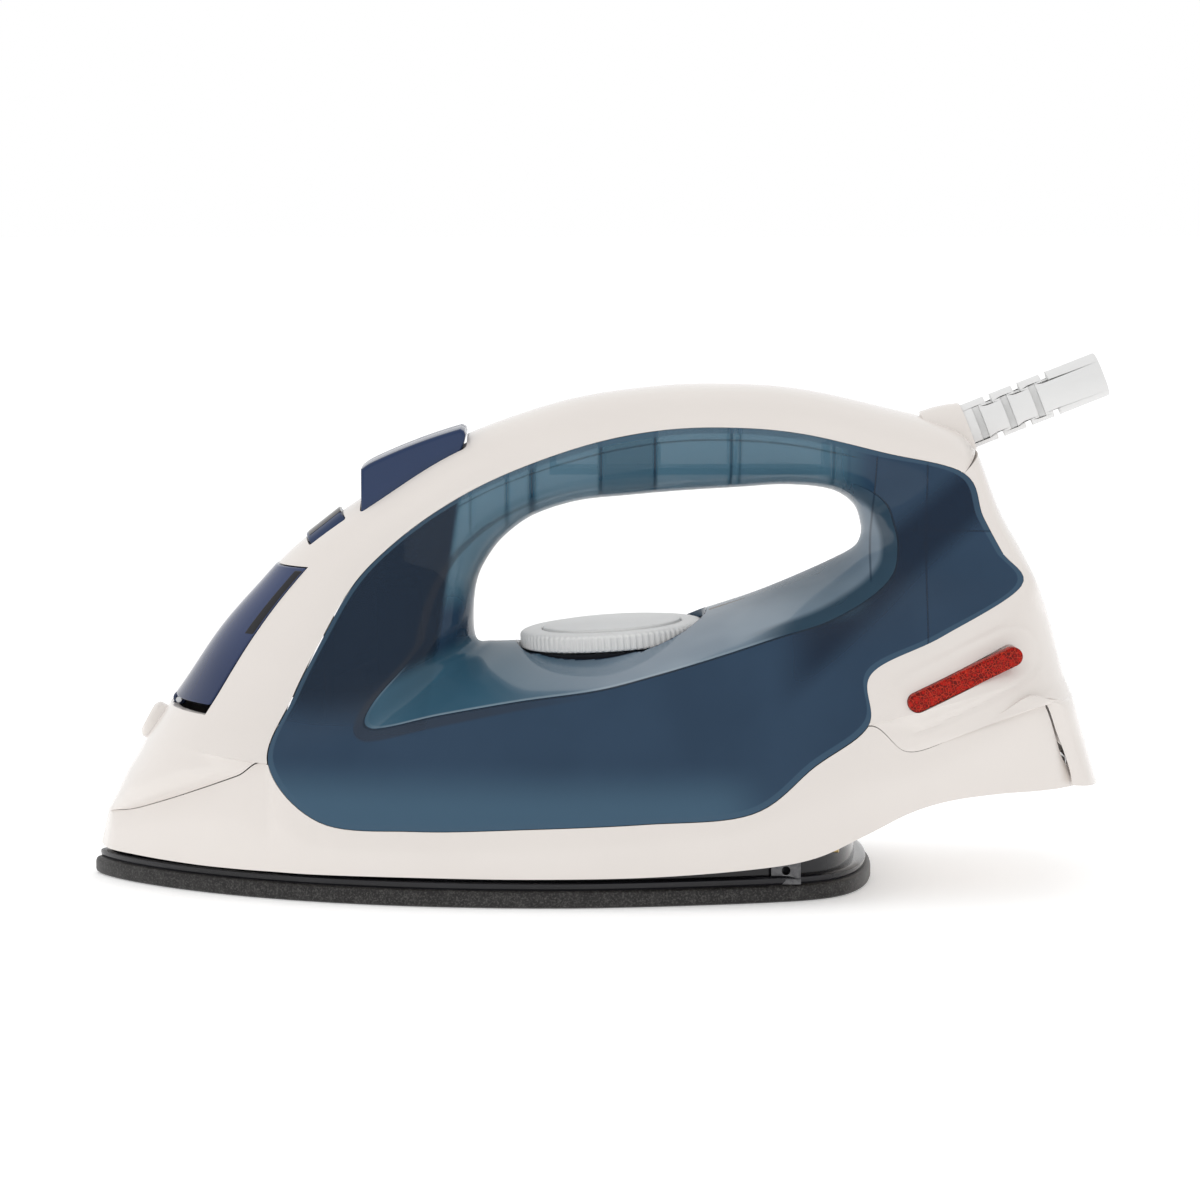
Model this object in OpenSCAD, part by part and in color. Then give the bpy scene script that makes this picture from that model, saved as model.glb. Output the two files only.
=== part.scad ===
// Steam iron: soleplate with heater, water tank that carries the handle, white covers, dial,
// spray and burst buttons, steam slider, fill door and a swivelling cord sleeve.
// Frame: X runs from the nose (negative) to the heel (positive), Y across, Z up.
// The origin is on the flat underside of the soleplate.

/* [Soleplate] */
// Tip of the soleplate along X
sole_tip_x = -142; // [-146:1:-140]
// Rear end of the soleplate along X
sole_heel_x = 76; // [74:1:80]
// Half width of the soleplate at its widest
sole_half_w = 59; // [57:0.5:60]
// Thickness of the ironing plate
plate_t = 4.8; // [4:0.1:5]
// Diameter of a steam vent
vent_d = 2.6; // [2:0.1:3]
// Vents in each of the two rows that follow the edge
vent_count = 12; // [6:1:14]

/* [Shells] */
// Wall of the translucent tank and handle
tank_wall = 2; // [1.6:0.1:2.4]
// Wall of the white covers
cover_wall = 2.2; // [1.8:0.1:2.6]
// Squareness of the rounded sections, where 2 is an ellipse
section_power = 2.3; // [2:0.1:2.8]

/* [Dial] */
// Diameter of the temperature dial
dial_d = 52; // [46:0.5:53]
// Height of the knurled rim
dial_rim_h = 5; // [4:0.1:5.5]
// Place of the dial axis along X
dial_x = 3.6; // [2:0.1:5]
// Height of the underside of the dial
dial_z = 65.6; // [65:0.1:67]
// Rearward rise of the dial face in degrees
dial_tilt = 3.7; // [2:0.1:5]
// Diameter of the thermostat spindle
spindle_d = 6; // [5:0.1:6.5]

/* [Buttons] */
// Travel of a pump button
press_travel = 5; // [3:0.5:6]
// Distance of each pump from the middle plane
pump_y = 6.5; // [6.4:0.1:6.8]
// Bore of a pump cylinder
pump_bore = 8.1; // [7.5:0.1:8.4]
// Travel of the steam slider across the cover
slider_travel = 6; // [4:0.5:6]

/* [Cord sleeve] */
// Outer diameter of the ribbed sleeve
sleeve_d = 12.6; // [12:0.1:13]
// Bore for the flex
cord_bore = 7; // [6:0.1:7.5]
// Visible length of the sleeve
sleeve_len = 40; // [34:1:44]
// Upward angle of the sleeve in degrees
sleeve_rise = 21.6; // [18:0.1:24]

/* [Hidden] */
$fn = 48;
run_gap = 0.05;             // radial clearance of the pins and pistons that move
skin_gap = 0.3;             // clearance round the parts that move through a cover
white = "#ECE7DF";
blue = "#4E7791";
navy = "#2D3E5C";
black = "#17181A";
grey = "#5B5B5D";
steel = "#B9BDC2";
brass = "#B9964B";
rubber = "#26282B";

// ---------------------------------------------------------------- curves and grids

// Catmull-Rom blend of four equal rows at t from 0 to 1
function blend4(a, b, c, d, t) =
    0.5 * (2 * b + (c - a) * t + (2 * a - 5 * b + 4 * c - d) * t * t
        + (3 * b - a - 3 * c + d) * t * t * t);

// Row of an open list of guide rows at place s, counted in rows from 0
function open_row(rows, s) =
    let (n = len(rows), i = min(n - 2, floor(s)))
    blend4(rows[max(0, i - 1)], rows[i], rows[i + 1], rows[min(n - 1, i + 2)], s - i);

// Row of a closed list of guide rows
function loop_row(rows, s) =
    let (n = len(rows), i = floor(s))
    blend4(rows[(i + n - 1) % n], rows[i % n], rows[(i + 1) % n], rows[(i + 2) % n], s - i);

// Point of a grid, with rows that wrap round when loop is true and columns held at the ends
function cell(g, i, j, loop) =
    let (n = len(g), m = len(g[0]))
    g[loop ? (i + n) % n : max(0, min(n - 1, i))][max(0, min(m - 1, j))];

// Unit normal of the grid surface at one point
function grid_normal(g, i, j, loop) =
    let (c = cross(cell(g, i + 1, j, loop) - cell(g, i - 1, j, loop),
                   cell(g, i, j + 1, loop) - cell(g, i, j - 1, loop)))
    c / max(norm(c), 0.000001);

// Copy of a grid moved along its normals; flat_y keeps the columns on the middle plane there
function offset_grid(g, t, loop, flat_y = false) =
    [for (i = [0 : len(g) - 1]) [for (j = [0 : len(g[0]) - 1])
        let (p = g[i][j] + t * grid_normal(g, i, j, loop))
        flat_y && abs(g[i][j].y) < 0.001 ? [p.x, 0, p.z] : p]];

// Two triangles for a four-sided patch, turned over when flip is true
function patch(a, b, c, d, flip) = flip ? [[a, b, c], [a, c, d]] : [[a, c, b], [a, d, c]];

// Closed sheet between two grids of the same size
module sheet(outer, inner, loop, flip = false) {
    n = len(outer);
    m = len(outer[0]);
    points = [for (g = [outer, inner]) for (row = g) for (p = row) p];
    last = loop ? n - 1 : n - 2;
    skins = [for (i = [0 : last]) for (j = [0 : m - 2])
        let (a = i * m + j, b = ((i + 1) % n) * m + j)
        each concat(patch(a, b, b + 1, a + 1, flip),
                    patch(n * m + a, n * m + a + 1, n * m + b + 1, n * m + b, flip))];
    rims = [for (i = [0 : last])
        let (a = i * m, b = ((i + 1) % n) * m)
        each concat(patch(a, n * m + a, n * m + b, b, flip),
                    patch(a + m - 1, b + m - 1, n * m + b + m - 1, n * m + a + m - 1, flip))];
    ends = loop ? [] : [for (j = [0 : m - 2])
        let (z = (n - 1) * m)
        each concat(patch(j, j + 1, n * m + j + 1, n * m + j, flip),
                    patch(z + j, n * m + z + j, n * m + z + j + 1, z + j + 1, flip))];
    polyhedron(points, concat(skins, rims, ends), convexity = 8);
}

// Rod between two points
module rod(p, q, r) {
    v = q - p;
    translate(p)
        rotate([0, acos(v.z / norm(v)), atan2(v.y, v.x)])
            cylinder(h = norm(v), r = r);
}

// Tube between two points, open at both ends
module pipe(p, q, r_out, r_in) {
    v = q - p;
    translate(p)
        rotate([0, acos(v.z / norm(v)), atan2(v.y, v.x)])
            difference() {
                cylinder(h = norm(v), r = r_out);
                translate([0, 0, -1]) cylinder(h = norm(v) + 2, r = r_in);
            }
}

// ---------------------------------------------------------------- plan of the iron

widest_x = -10;             // where the plan is widest

// Half width of the plan as a part of its widest, between a nose at x0 and a tail at x1
function plan_part(x, x0, x1) =
    x < widest_x
        ? pow(max(0, 1 - pow((widest_x - x) / (widest_x - x0), 2.2)), 0.75)
        : let (s = (x - widest_x) / (x1 - widest_x)) (1 - 0.28 * pow(s, 1.5)) * sqrt(1 - pow(s, 12));

// Closed outline of the plan between a nose at x0 and a tail at x1
function plan_outline(x0, x1, half_w, steps = 28) =
    let (near = [for (i = [1 : steps - 1])
            let (x = (x0 + x1) / 2 - (x1 - x0) / 2 * cos(180 * i / steps))
            [x, -half_w * plan_part(x, x0, x1)]])
    concat([[x0, 0]], near, [[x1, 0]],
           [for (i = [steps - 2 : -1 : 0]) [near[i].x, -near[i].y]]);

// Plate with a plan outline, shrunk by a margin all round
module plan_plate(x0, x1, half_w, h, inset = 0) {
    linear_extrude(h) offset(delta = -inset) polygon(plan_outline(x0, x1, half_w));
}
module plan(inset, h) {
    plan_plate(sole_tip_x, sole_heel_x, sole_half_w, h, inset);
}

// ---------------------------------------------------------------- guide rows of the shells

// Tank and handle ring round the hand opening. Each row holds the edge of the opening (x, z),
// the crease (x, z, half width), the outer edge (x, z, half width) and the weight of the crease.
ring_rows = [
    [-34.5, 66.5, -70, 50, 40, -90.5, 36.5, 39, 0.6],
    [-35.3, 74, -60, 66, 25, -84, 54, 29.5, 0],
    [-34.3, 83, -54, 76, 20, -77, 68, 23, 0],
    [-31, 90, -48, 85, 18, -69, 82, 19, 0],
    [-26, 96, -40, 96, 17, -60, 92, 17.5, 0],
    [-18, 101.5, -30, 104, 17, -46, 103, 17, 0],
    [-6, 105.3, -14, 110, 17, -28, 113, 17, 0],
    [8, 106.8, 6, 113, 17, -4, 121.8, 17, 0],
    [22, 108, 22, 114, 17, 17, 126, 17, 0],
    [38, 109, 38, 115, 17, 37, 126.7, 17, 0],
    [52, 109.8, 54, 115, 17, 56, 125, 17.5, 0],
    [64, 108.5, 68, 113, 17, 78, 120, 19, 0.2],
    [70.5, 104.5, 78, 106, 17, 100, 114.5, 21, 0.5],
    [72.7, 99, 81, 100, 18, 105, 103, 24.5, 0.8],
    [72.6, 95, 82, 94, 20, 110, 93.5, 27.5, 1],
    [70.5, 92, 80.5, 87, 24, 115, 84.5, 31.5, 1],
    [64, 88.5, 74, 81, 29, 93, 71.5, 39, 1],
    [54, 84, 62, 75, 35, 73.5, 62, 44.5, 1],
    [43, 79.5, 49, 71.5, 40, 72.5, 48.5, 49, 1],
    [31, 75.5, 31, 66, 43, 58, 38, 53, 1],
    [18, 71.5, 15, 61.5, 45, 41, 25.5, 56.5, 1],
    [4, 68, -1, 57.5, 46, 12, 23, 58.5, 1],
    [-10, 66.2, -22, 54.5, 46, -20, 21.5, 58, 1],
    [-22, 66, -44, 50.5, 45, -50, 20.5, 55, 1],
    [-30, 65.8, -62, 46.5, 42, -76, 22, 48.5, 1]];

// White cover over nose and handle. Each row holds its edge (x, z, half width) and the ridge
// line in the middle plane (x, z).
cover_rows = [
    [-137.2, 18.8, 5, -138.2, 18.2],
    [-131, 20.5, 14, -136.5, 21.5],
    [-122, 23.8, 23, -134.5, 25.5],
    [-110.5, 28.5, 31, -132.5, 29.5],
    [-99, 33, 36.5, -129.5, 34.5],
    [-90.5, 36.5, 39, -125.5, 41.5],
    [-84, 54, 29.5, -116, 55],
    [-77, 68, 23, -106, 69.6],
    [-69, 82, 19, -95.5, 81.7],
    [-60, 92, 17.5, -84, 93.5],
    [-46, 103, 17, -66, 106.3],
    [-28, 113, 17, -42, 121.5],
    [-4, 121.8, 17, -12, 132.6],
    [17, 126, 17, 14, 137],
    [37, 126.7, 17, 36, 137.8],
    [56, 125, 17.5, 56, 136.3],
    [78, 120, 19, 78, 131.5],
    [100, 114.5, 21, 98, 126]];

// Lower skirt. Each row holds its bottom edge (x, z, half width) and its top seam the same way,
// from the nose to the heel.
skirt_rows = [
    [-140.3, 8.5, 0, -138.2, 17.8, 0],
    [-137, 8.2, 9, -136.2, 19, 7],
    [-130, 8, 16.5, -130, 20.5, 15],
    [-121, 7.8, 24.5, -121, 24, 23.5],
    [-110, 7.6, 32.5, -110, 28.5, 31.2],
    [-99, 7.6, 39, -99, 33, 36.5],
    [-90, 7.7, 43.5, -90.5, 36.5, 39],
    [-76, 7.8, 49.5, -76, 22, 48.5],
    [-50, 8, 55.5, -50, 20.5, 55],
    [-20, 8, 58.5, -20, 21.5, 58],
    [12, 8.5, 58.5, 12, 23, 58.5],
    [41, 10.3, 56, 41, 25.5, 56.5],
    [58, 13, 54, 58, 38, 53],
    [72, 19, 51.5, 72.5, 48.5, 49],
    [84, 24.8, 50, 83, 41.5, 49.5],
    [95, 28, 49, 96, 45.5, 49],
    [108, 29.6, 47.5, 108, 51.5, 47.5],
    [118, 30, 45, 119, 55.5, 44.5],
    [126, 30.2, 40, 126, 38, 40],
    [131.5, 30.3, 30, 131.5, 33, 30],
    [133, 30.3, 0, 133, 33, 0]];

// Rear cover. Each row holds its edge (x, z, half width) and the middle of the heel (x, z).
rear_rows = [
    [101, 113.5, 21.5, 104.6, 119.5],
    [105, 103, 24.5, 110.8, 103.4],
    [110, 93.5, 27.5, 116.3, 93.5],
    [115.3, 84.5, 31.5, 120.8, 84.5],
    [105, 77.5, 36, 123, 79],
    [93, 71.5, 39.5, 124.3, 75],
    [82, 66.5, 43, 125.5, 71],
    [73.5, 61.5, 45, 126.4, 67.5],
    [72, 55, 47, 127, 65],
    [73.5, 48.5, 48.5, 127.5, 63],
    [78, 43.6, 49, 128, 61],
    [84, 41.7, 49.3, 128.6, 59],
    [96, 45.7, 49, 129.3, 57],
    [108, 51.7, 47.5, 130, 55],
    [119, 55.7, 44.8, 130.8, 52.5],
    [124.2, 45, 42.5, 133.2, 44],
    [127.5, 36, 41.5, 136, 34.5],
    [128.5, 31, 41, 137.4, 30.5]];

// Point across the tank ring: c runs from 0 at the opening to 1 at the outer edge
function ring_point(r, c) =
    let (a = 90 * c,
         e = 2 / section_power,
         round_f = 1 - pow(cos(a), e),
         round_p = [r[0] + (r[5] - r[0]) * round_f, r[7] * pow(sin(a), e),
                    r[1] + (r[6] - r[1]) * round_f],
         t = c < 0.5 ? 2 * c : 2 * c - 1,
         sharp_p = c < 0.5
            ? [r[0] + (r[2] - r[0]) * pow(t, 1.5), r[4] * t, r[1] + (r[3] - r[1]) * pow(t, 1.5)]
            : [r[2] + (r[5] - r[2]) * t, r[4] + (r[7] - r[4]) * t + 1.2 * sin(180 * t),
               r[3] + (r[6] - r[3]) * t])
    round_p + (sharp_p - round_p) * max(0, min(1, r[8]));

// Point across a cover: a is 0 at one edge, 90 on the middle plane and 180 at the other edge
function across(edge, mid, a, power) =
    let (e = 2 / power, f = pow(abs(sin(a)), e))
    [edge.x + (mid.x - edge.x) * f,
     -edge.z * sign(cos(a)) * pow(abs(cos(a)), e),
     edge.y + (mid.y - edge.y) * f];

seam = 0.012;               // part of a section left open at the seams
ring_steps = 2;             // stations between two guide rows of the ring
ring_cols = 8;
ring_grid = [for (i = [0 : ring_steps * len(ring_rows) - 1])
    let (r = loop_row(ring_rows, i / ring_steps))
    [for (j = [0 : ring_cols]) ring_point(r, (1 - seam) * j / ring_cols)]];

// The same cross line moved inwards by t; a negative t moves it outwards
function across_in(edge, mid, a, power, t) =
    let (v = [edge.x - mid.x, edge.y - mid.y], k = t / max(norm(v), 6))
    across([edge.x, edge.y, edge.z - t * min(1, edge.z / 12)], [mid.x + v.x * k, mid.y + v.y * k],
           a, power);

// Edge (x, z, half width) of the ring at place s: the covers take their seams from it
function ring_edge(s) = let (r = loop_row(ring_rows, s)) [r[5], r[6], r[7]];

cover_cols = 14;
cover_meets = 5;            // row of the cover where its edge reaches the ring
function cover_row(s) =
    let (r = open_row(cover_rows, s), e = ring_edge(max(0, s - cover_meets)))
    s < cover_meets ? r : [e[0], e[1], e[2], r[3], r[4]];
function cover_line(s, cols = cover_cols, a0 = 0, a1 = 180, t = 0) =
    let (r = cover_row(s))
    [for (j = [0 : cols])
        across_in([r[0], r[1], r[2]], [r[3], r[4]], a0 + (a1 - a0) * j / cols, section_power, t)];
function cover_layer(t) = [for (i = [0 : 2 * (len(cover_rows) - 1)]) cover_line(i / 2, t = t)];

skirt_cols = 4;
function skirt_line(r, side) =
    [for (j = [0 : skirt_cols])
        let (t = (1 - 4 * seam) * j / skirt_cols)
        [r[0] + (r[3] - r[0]) * t, side * (r[2] + (r[5] - r[2]) * t + 0.8 * sin(180 * t)
            * min(1, r[2] / 10)), r[1] + (r[4] - r[1]) * t]];
skirt_steps = 2;
skirt_meets = [6, 13];      // rows of the skirt between which its top follows the ring
function skirt_row(s) =
    let (r = open_row(skirt_rows, s), e = ring_edge(len(ring_rows) + skirt_meets[0] - s))
    s < skirt_meets[0] || s > skirt_meets[1] ? r : [r[0], r[1], r[2], e[0], e[1], e[2]];
skirt_near = [for (i = [0 : skirt_steps * (len(skirt_rows) - 1)]) skirt_row(i / skirt_steps)];
skirt_grid = concat([for (r = skirt_near) skirt_line(r, -1)],
                    [for (i = [len(skirt_near) - 2 : -1 : 1]) skirt_line(skirt_near[i], 1)]);

rear_cols = 14;
rear_power = 3.4;
rear_gap = 0.25;            // clearance between the rear cover and the tank and skirt
function rear_layer(t) = [for (i = [0 : 2 * (len(rear_rows) - 1)])
    let (r = open_row(rear_rows, i / 2))
    [for (j = [0 : rear_cols])
        across_in([r[0], r[1], r[2] - rear_gap], [r[3], r[4]], 180 * j / rear_cols, rear_power, t)]];

// ---------------------------------------------------------------- sole group

casting_top = 16;           // top of the heater casting
shield_top = casting_top + 3.6;

module soleplate() {
    color(grey) difference() {
        plan(0, plate_t);
        // two rows of vents follow the edge, and a group fills the nose
        for (side = [-1, 1], i = [0 : vent_count - 1]) {
            x = -112 + 150 * i / (vent_count - 1);
            translate([x, side * (sole_half_w * plan_part(x, sole_tip_x, sole_heel_x) - 13), -1])
                cylinder(h = plate_t + 2, d = vent_d);
        }
        for (i = [0 : 4])
            translate([-126 + 7 * i, 0, -1]) cylinder(h = plate_t + 2, d = vent_d);
    }
}

module sole_casting() {
    color("silver") difference() {
        translate([0, 0, plate_t]) plan_plate(-130.5, 71, 52.6, casting_top - plate_t);
        // steam chamber, open at the top under its cover
        translate([0, 0, plate_t + 2]) plan_plate(-100, 30, 27, casting_top);
        // channel over the rows of vents, fed from the chamber through two slots
        translate([0, 0, plate_t - 1]) difference() {
            plan(10, 4.5);
            translate([0, 0, -1]) plan(17, 7);
        }
        for (slot = [[-90, 30], [10, 45]])
            translate([slot[0], -slot[1], plate_t + 1]) cube([6, 2 * slot[1], 2.4]);
        heater_path(heater_r + 0.1);
        for (p = screw_places) translate([p.x, p.y, shield_top - 12]) cylinder(h = 12, d = 3.2);
    }
}

// Path of the heater, half sunk in the casting: two legs that join in a round bend at the nose
heater_r = 3.4;
heater_z = casting_top - 1;
heater_bend_r = 24;
heater_bend_x = -84;
heater_spread = 8.5;
heater_leg = 146;
module heater_path(r) {
    translate([heater_bend_x, 0, heater_z]) {
        rotate([0, 0, 90 + heater_spread]) rotate_extrude(angle = 180 - 2 * heater_spread)
            translate([heater_bend_r, 0]) circle(r = r, $fn = 24);
        for (side = [-1, 1])
            rotate([0, 0, side * heater_spread]) translate([-0.5, side * heater_bend_r, 0])
                rotate([0, 90, 0]) cylinder(h = heater_leg + 0.5, r = r - 0.05, $fn = 24);
    }
}
module heating_element() {
    color(steel) heater_path(heater_r);
}
heater_end = [heater_bend_x + heater_leg * cos(heater_spread) - heater_bend_r * sin(heater_spread),
              heater_bend_r * cos(heater_spread) + heater_leg * sin(heater_spread), heater_z];
module terminal(side) {
    color(brass) translate([heater_end.x, side * heater_end.y, heater_z])
        rotate([0, 0, side * heater_spread]) {
            rotate([0, 90, 0]) cylinder(h = 8, r = 1.6);
            translate([6, -3.2, 1.2]) cube([1, 6.4, 12]);
        }
}
module terminal_left() { terminal(-1); }
module terminal_right() { terminal(1); }

module chamber_cover() {
    color(steel) translate([0, 0, casting_top]) difference() {
        plan_plate(-102, 32, 29, 1.2);
        translate([valve_x, 0, -1]) cylinder(h = 3, d = 5.2);
        translate([pump_x, -pump_y, -1]) cylinder(h = 3, d = 3.3);
    }
}
module drip_seat() {
    color(brass) translate([valve_x, 0, casting_top - 3]) difference() {
        union() {
            cylinder(h = 8, d = 5);
            translate([0, 0, 4.3]) cylinder(h = 1.5, d = 9);
        }
        translate([0, 0, -1]) cylinder(h = 10, d = 1.6);
        translate([0, 0, 5]) cylinder(h = 4, d1 = 1.6, d2 = 3.4);
    }
}

module heat_shield() {
    color(black) difference() {
        union() {
            translate([0, 0, plate_t]) plan(1.4, 2.5);
            translate([0, 0, plate_t]) plan_plate(-133.5, 60, 55.4, shield_top - plate_t);
        }
        translate([0, 0, plate_t - 1]) plan_plate(-131.5, 80, 53.6, shield_top - plate_t);
        // windows for the steam parts, the thermostat and the heater ends
        translate([valve_x, 0, 0]) cylinder(h = 40, d = 14);
        translate([pump_x, -pump_y, 0]) cylinder(h = 40, d = 5);
        translate([dial_x + 3, 0, 0]) cylinder(h = 40, d = 34);
        translate([46, -60, plate_t - 1]) cube([40, 120, 40]);
        for (p = screw_places) translate([p.x, p.y, 0]) cylinder(h = 40, d = 3.4);
    }
}

screw_places = [[-118, 0], [36, -34], [36, 34]];
module sole_screw(p) {
    color(steel) translate([p.x, p.y, shield_top - 11]) difference() {
        union() {
            cylinder(h = 11.5, d = 3);
            translate([0, 0, 11]) cylinder(h = 2.2, d = 7);
        }
        for (a = [0, 90]) rotate([0, 0, a]) translate([-2, -0.5, 12.2]) cube([4, 1, 3]);
    }
}
module sole_screw_front() { sole_screw(screw_places[0]); }
module sole_screw_left() { sole_screw(screw_places[1]); }
module sole_screw_right() { sole_screw(screw_places[2]); }

// Clip that ties the skirt to the ironing plate beside the heel
module sole_clip(side) {
    color("#8C8F93") translate([50.5, side * 45.8, plate_t]) difference() {
        union() {
            translate([-4, -1.6, 0]) cube([8, 3.2, 1.4]);
            translate([-4, -0.7, 0]) cube([8, 1.4, 6.2]);
        }
        translate([0, 0, 3.6]) rotate([90, 0, 0]) cylinder(h = 6, d = 2.4, center = true);
    }
}
module sole_clip_left() { sole_clip(-1); }
module sole_clip_right() { sole_clip(1); }

// ---------------------------------------------------------------- thermostat and dial

module on_dial_axis() {
    translate([dial_x, 0, dial_z]) rotate([0, -dial_tilt, 0]) children();
}
thermo_low = -47.2;          // underside of the thermostat, along the dial axis

module thermostat_body() {
    color("#D8D2C4") on_dial_axis() translate([0, 0, thermo_low]) difference() {
        union() {
            translate([-13, -8, 0]) cube([26, 16, 2.4]);
            cylinder(h = 13, d = 13);
        }
        translate([0, 0, 3]) cylinder(h = 12, d = spindle_d + 2 * run_gap);
    }
}
module thermostat_blade() {
    color(brass) on_dial_axis() translate([13, -3, thermo_low + 0.6]) cube([8, 6, 0.8]);
}
module thermal_fuse() {
    color(steel) translate([dial_x + 3, 11.6, casting_top + 3.3]) rotate([0, 90, 0]) {
        cylinder(h = 11, d = 4, center = true);
        cylinder(h = 20, d = 1, center = true);
    }
}
module thermostat_spindle() {
    color(steel) on_dial_axis() {
        translate([0, 0, thermo_low + 3.2]) cylinder(h = -thermo_low - 6.2, d = spindle_d);
    }
}
seat_r = dial_d / 2 - 1.2;
module dial_seat() {
    color(black) on_dial_axis() difference() {
        union() {
            translate([0, 0, -7.5]) cylinder(h = 7.2, r1 = seat_r - 3.4, r2 = seat_r);
            translate([0, 0, -12]) cylinder(h = 5, r = 11);
        }
        translate([0, 0, -4.5]) cylinder(h = 5, r1 = seat_r - 5, r2 = seat_r - 3);
        translate([0, 0, -13]) cylinder(h = 10, d = 11);
    }
}
module dial() {
    color("#E4E4E2") on_dial_axis() difference() {
        union() {
            cylinder(h = dial_rim_h, d = dial_d - 1, $fn = 96);
            // rim knurl as a ring of thin ribs
            for (i = [0 : 35]) rotate([0, 0, 10 * i])
                translate([dial_d / 2 - 1.5, -0.8, 0.6]) cube([1.5, 1.6, dial_rim_h - 1.2]);
            translate([0, 0, -12]) cylinder(h = 12.5, d = 10);
        }
        translate([0, 0, dial_rim_h - 0.8]) cylinder(h = 2, d = 39);
        translate([0, 0, -13]) cylinder(h = 10, d = spindle_d + 0.04);
    }
}
module dial_cap() {
    color("#DADAD8") on_dial_axis() translate([0, 0, dial_rim_h - 0.8]) cylinder(h = 1.5, d = 38.6);
}

// ---------------------------------------------------------------- tank

module tank_well() {
    color(blue) on_dial_axis() difference() {
        translate([0, 0, -41]) cylinder(h = 29, d = 18);
        translate([0, 0, -42]) cylinder(h = 31, d = 14.5);
    }
}
tank_floor_z = casting_top + 6;
module tank_floor() {
    color(blue) difference() {
        translate([0, 0, tank_floor_z]) plan_plate(-84, 38, 51, 2);
        on_dial_axis() translate([0, 0, -60]) cylinder(h = 50, d = 14.5);
        translate([valve_x, 0, 0]) cylinder(h = 40, d = 6);
        translate([pump_x, -pump_y, 0]) cylinder(h = 40, d = 3.3);
        for (p = screw_places) translate([p.x, p.y, 0]) cylinder(h = 40, d = 9);
    }
}
module tank_half() {
    difference() {
        sheet(ring_grid, offset_grid(ring_grid, tank_wall, true, true), true, true);
        on_dial_axis() translate([0, 0, -20]) cylinder(h = 13, r = seat_r - 3.3);
        on_dial_axis() translate([0, 0, -7.5]) cylinder(h = 7.3, r1 = seat_r - 3.3, r2 = seat_r + 0.1);
        on_dial_axis() translate([0, 0, -0.6]) cylinder(h = 24, r = dial_d / 2 + 0.8);
    }
}
module tank_left() { color(blue) mirror([0, 1, 0]) tank_half(); }
module tank_right() { color(blue) tank_half(); }
module tank_seal() {
    color(rubber) difference() {
        translate([0, 0, tank_floor_z - 1.6]) plan_plate(-84, 38, 51, 1.6, 1);
        translate([0, 0, tank_floor_z - 3]) plan_plate(-84, 38, 51, 5, 5);
    }
}

// ---------------------------------------------------------------- fill door and funnel

door_s0 = 5.6;              // place of the lower end of the door, in rows of the cover
door_s1 = 8.55;             // place of its upper end
door_a = 37;                // angle of the edges of the door round the section
door_t = 2.4;
door_pivot = [-117.3, 0, 50.4];
door_pin_d = 1.6;
door_pin_len = 20;
knuckle_d = 3.8;

function door_layer(t, side_trim = 0, low_trim = 0, top_trim = 0) =
    [for (i = [0 : 6])
        cover_line(door_s0 + low_trim + (door_s1 - door_s0 - low_trim - top_trim) * i / 6, 10,
                   door_a + side_trim, 180 - door_a - side_trim, t)];

module fill_door() {
    color("#5A6B84") union() {
        difference() {
            union() {
                sheet(door_layer(-0.4, 0.8, 0.16, 0.03), door_layer(door_t - 0.4, 0.8, 0.16, 0.03), false);
                translate(door_pivot) rotate([90, 0, 0]) cylinder(h = 12, d = knuckle_d, center = true);
            }
            translate(door_pivot) rotate([90, 0, 0])
                cylinder(h = 2 * door_pin_len, d = door_pin_d + 2 * run_gap, center = true);
        }
    }
}
module door_pin() {
    color(steel) translate(door_pivot) rotate([90, 0, 0])
        cylinder(h = door_pin_len, d = door_pin_d, center = true);
}
module door_seal() {
    color(rubber) funnel_frame() {
        translate([0, 0, 0.15]) cylinder(h = 2.6, d = 19);
        translate([0, 0, 2.6]) cylinder(h = 2.1, d = 8);
    }
}
funnel_mouth = [-96.2, 0, 70.3];
funnel_angle = -49;
module funnel_frame() {
    translate(funnel_mouth) rotate([0, funnel_angle, 0]) children();
}
module fill_funnel() {
    color(blue) funnel_frame() difference() {
        union() {
            translate([0, 0, -14]) cylinder(h = 14, d = 18);
            translate([0, 0, -2]) cylinder(h = 2, d = 21);
        }
        translate([0, 0, -15]) cylinder(h = 16, d = 15.6);
    }
}

// ---------------------------------------------------------------- white covers

button_x0 = -66.2;
button_x1 = -37.2;
button_half_w = 11.2;
nozzle_at = [-124.4, 0, 43];
nozzle_angle = -62;

module upper_cover() {
    color(white) difference() {
        sheet(cover_layer(0), cover_layer(cover_wall), false);
        // opening for the two buttons
        translate([button_x0 - skin_gap, -button_half_w - skin_gap, 85])
            cube([button_x1 - button_x0 + 2 * skin_gap, 2 * (button_half_w + skin_gap), 50]);
        // slot of the steam slider
        slider_frame() translate([-slider_half - skin_gap, -slot_half, -7])
            cube([2 * (slider_half + skin_gap), 2 * slot_half, 14]);
        // opening of the fill door
        sheet(door_layer(-3), door_layer(5.5), false);
        // rear mouth for the sleeve's collar and nut
        sleeve_axis() translate([0, 0, -22]) cylinder(h = 44, d = sleeve_d + 2.1);
        sleeve_axis() translate([0, 0, nut_low - 0.1]) cylinder(h = -nut_low - 12, r = nut_r + 0.1);
        // knuckle pocket and pin hole of the fill door
        translate(door_pivot) rotate([90, 0, 0]) cylinder(h = 12.8, d = knuckle_d + 0.8, center = true);
        translate(door_pivot) rotate([90, 0, 0]) cylinder(h = door_pin_len, d = door_pin_d, center = true);
        // hole of the spray nozzle
        translate(nozzle_at) rotate([0, nozzle_angle, 0]) cylinder(h = 30, d = 11.4, center = true);
    }
}
module lower_skirt() {
    color(white) sheet(skirt_grid, offset_grid(skirt_grid, -cover_wall, true), true);
}
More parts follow.
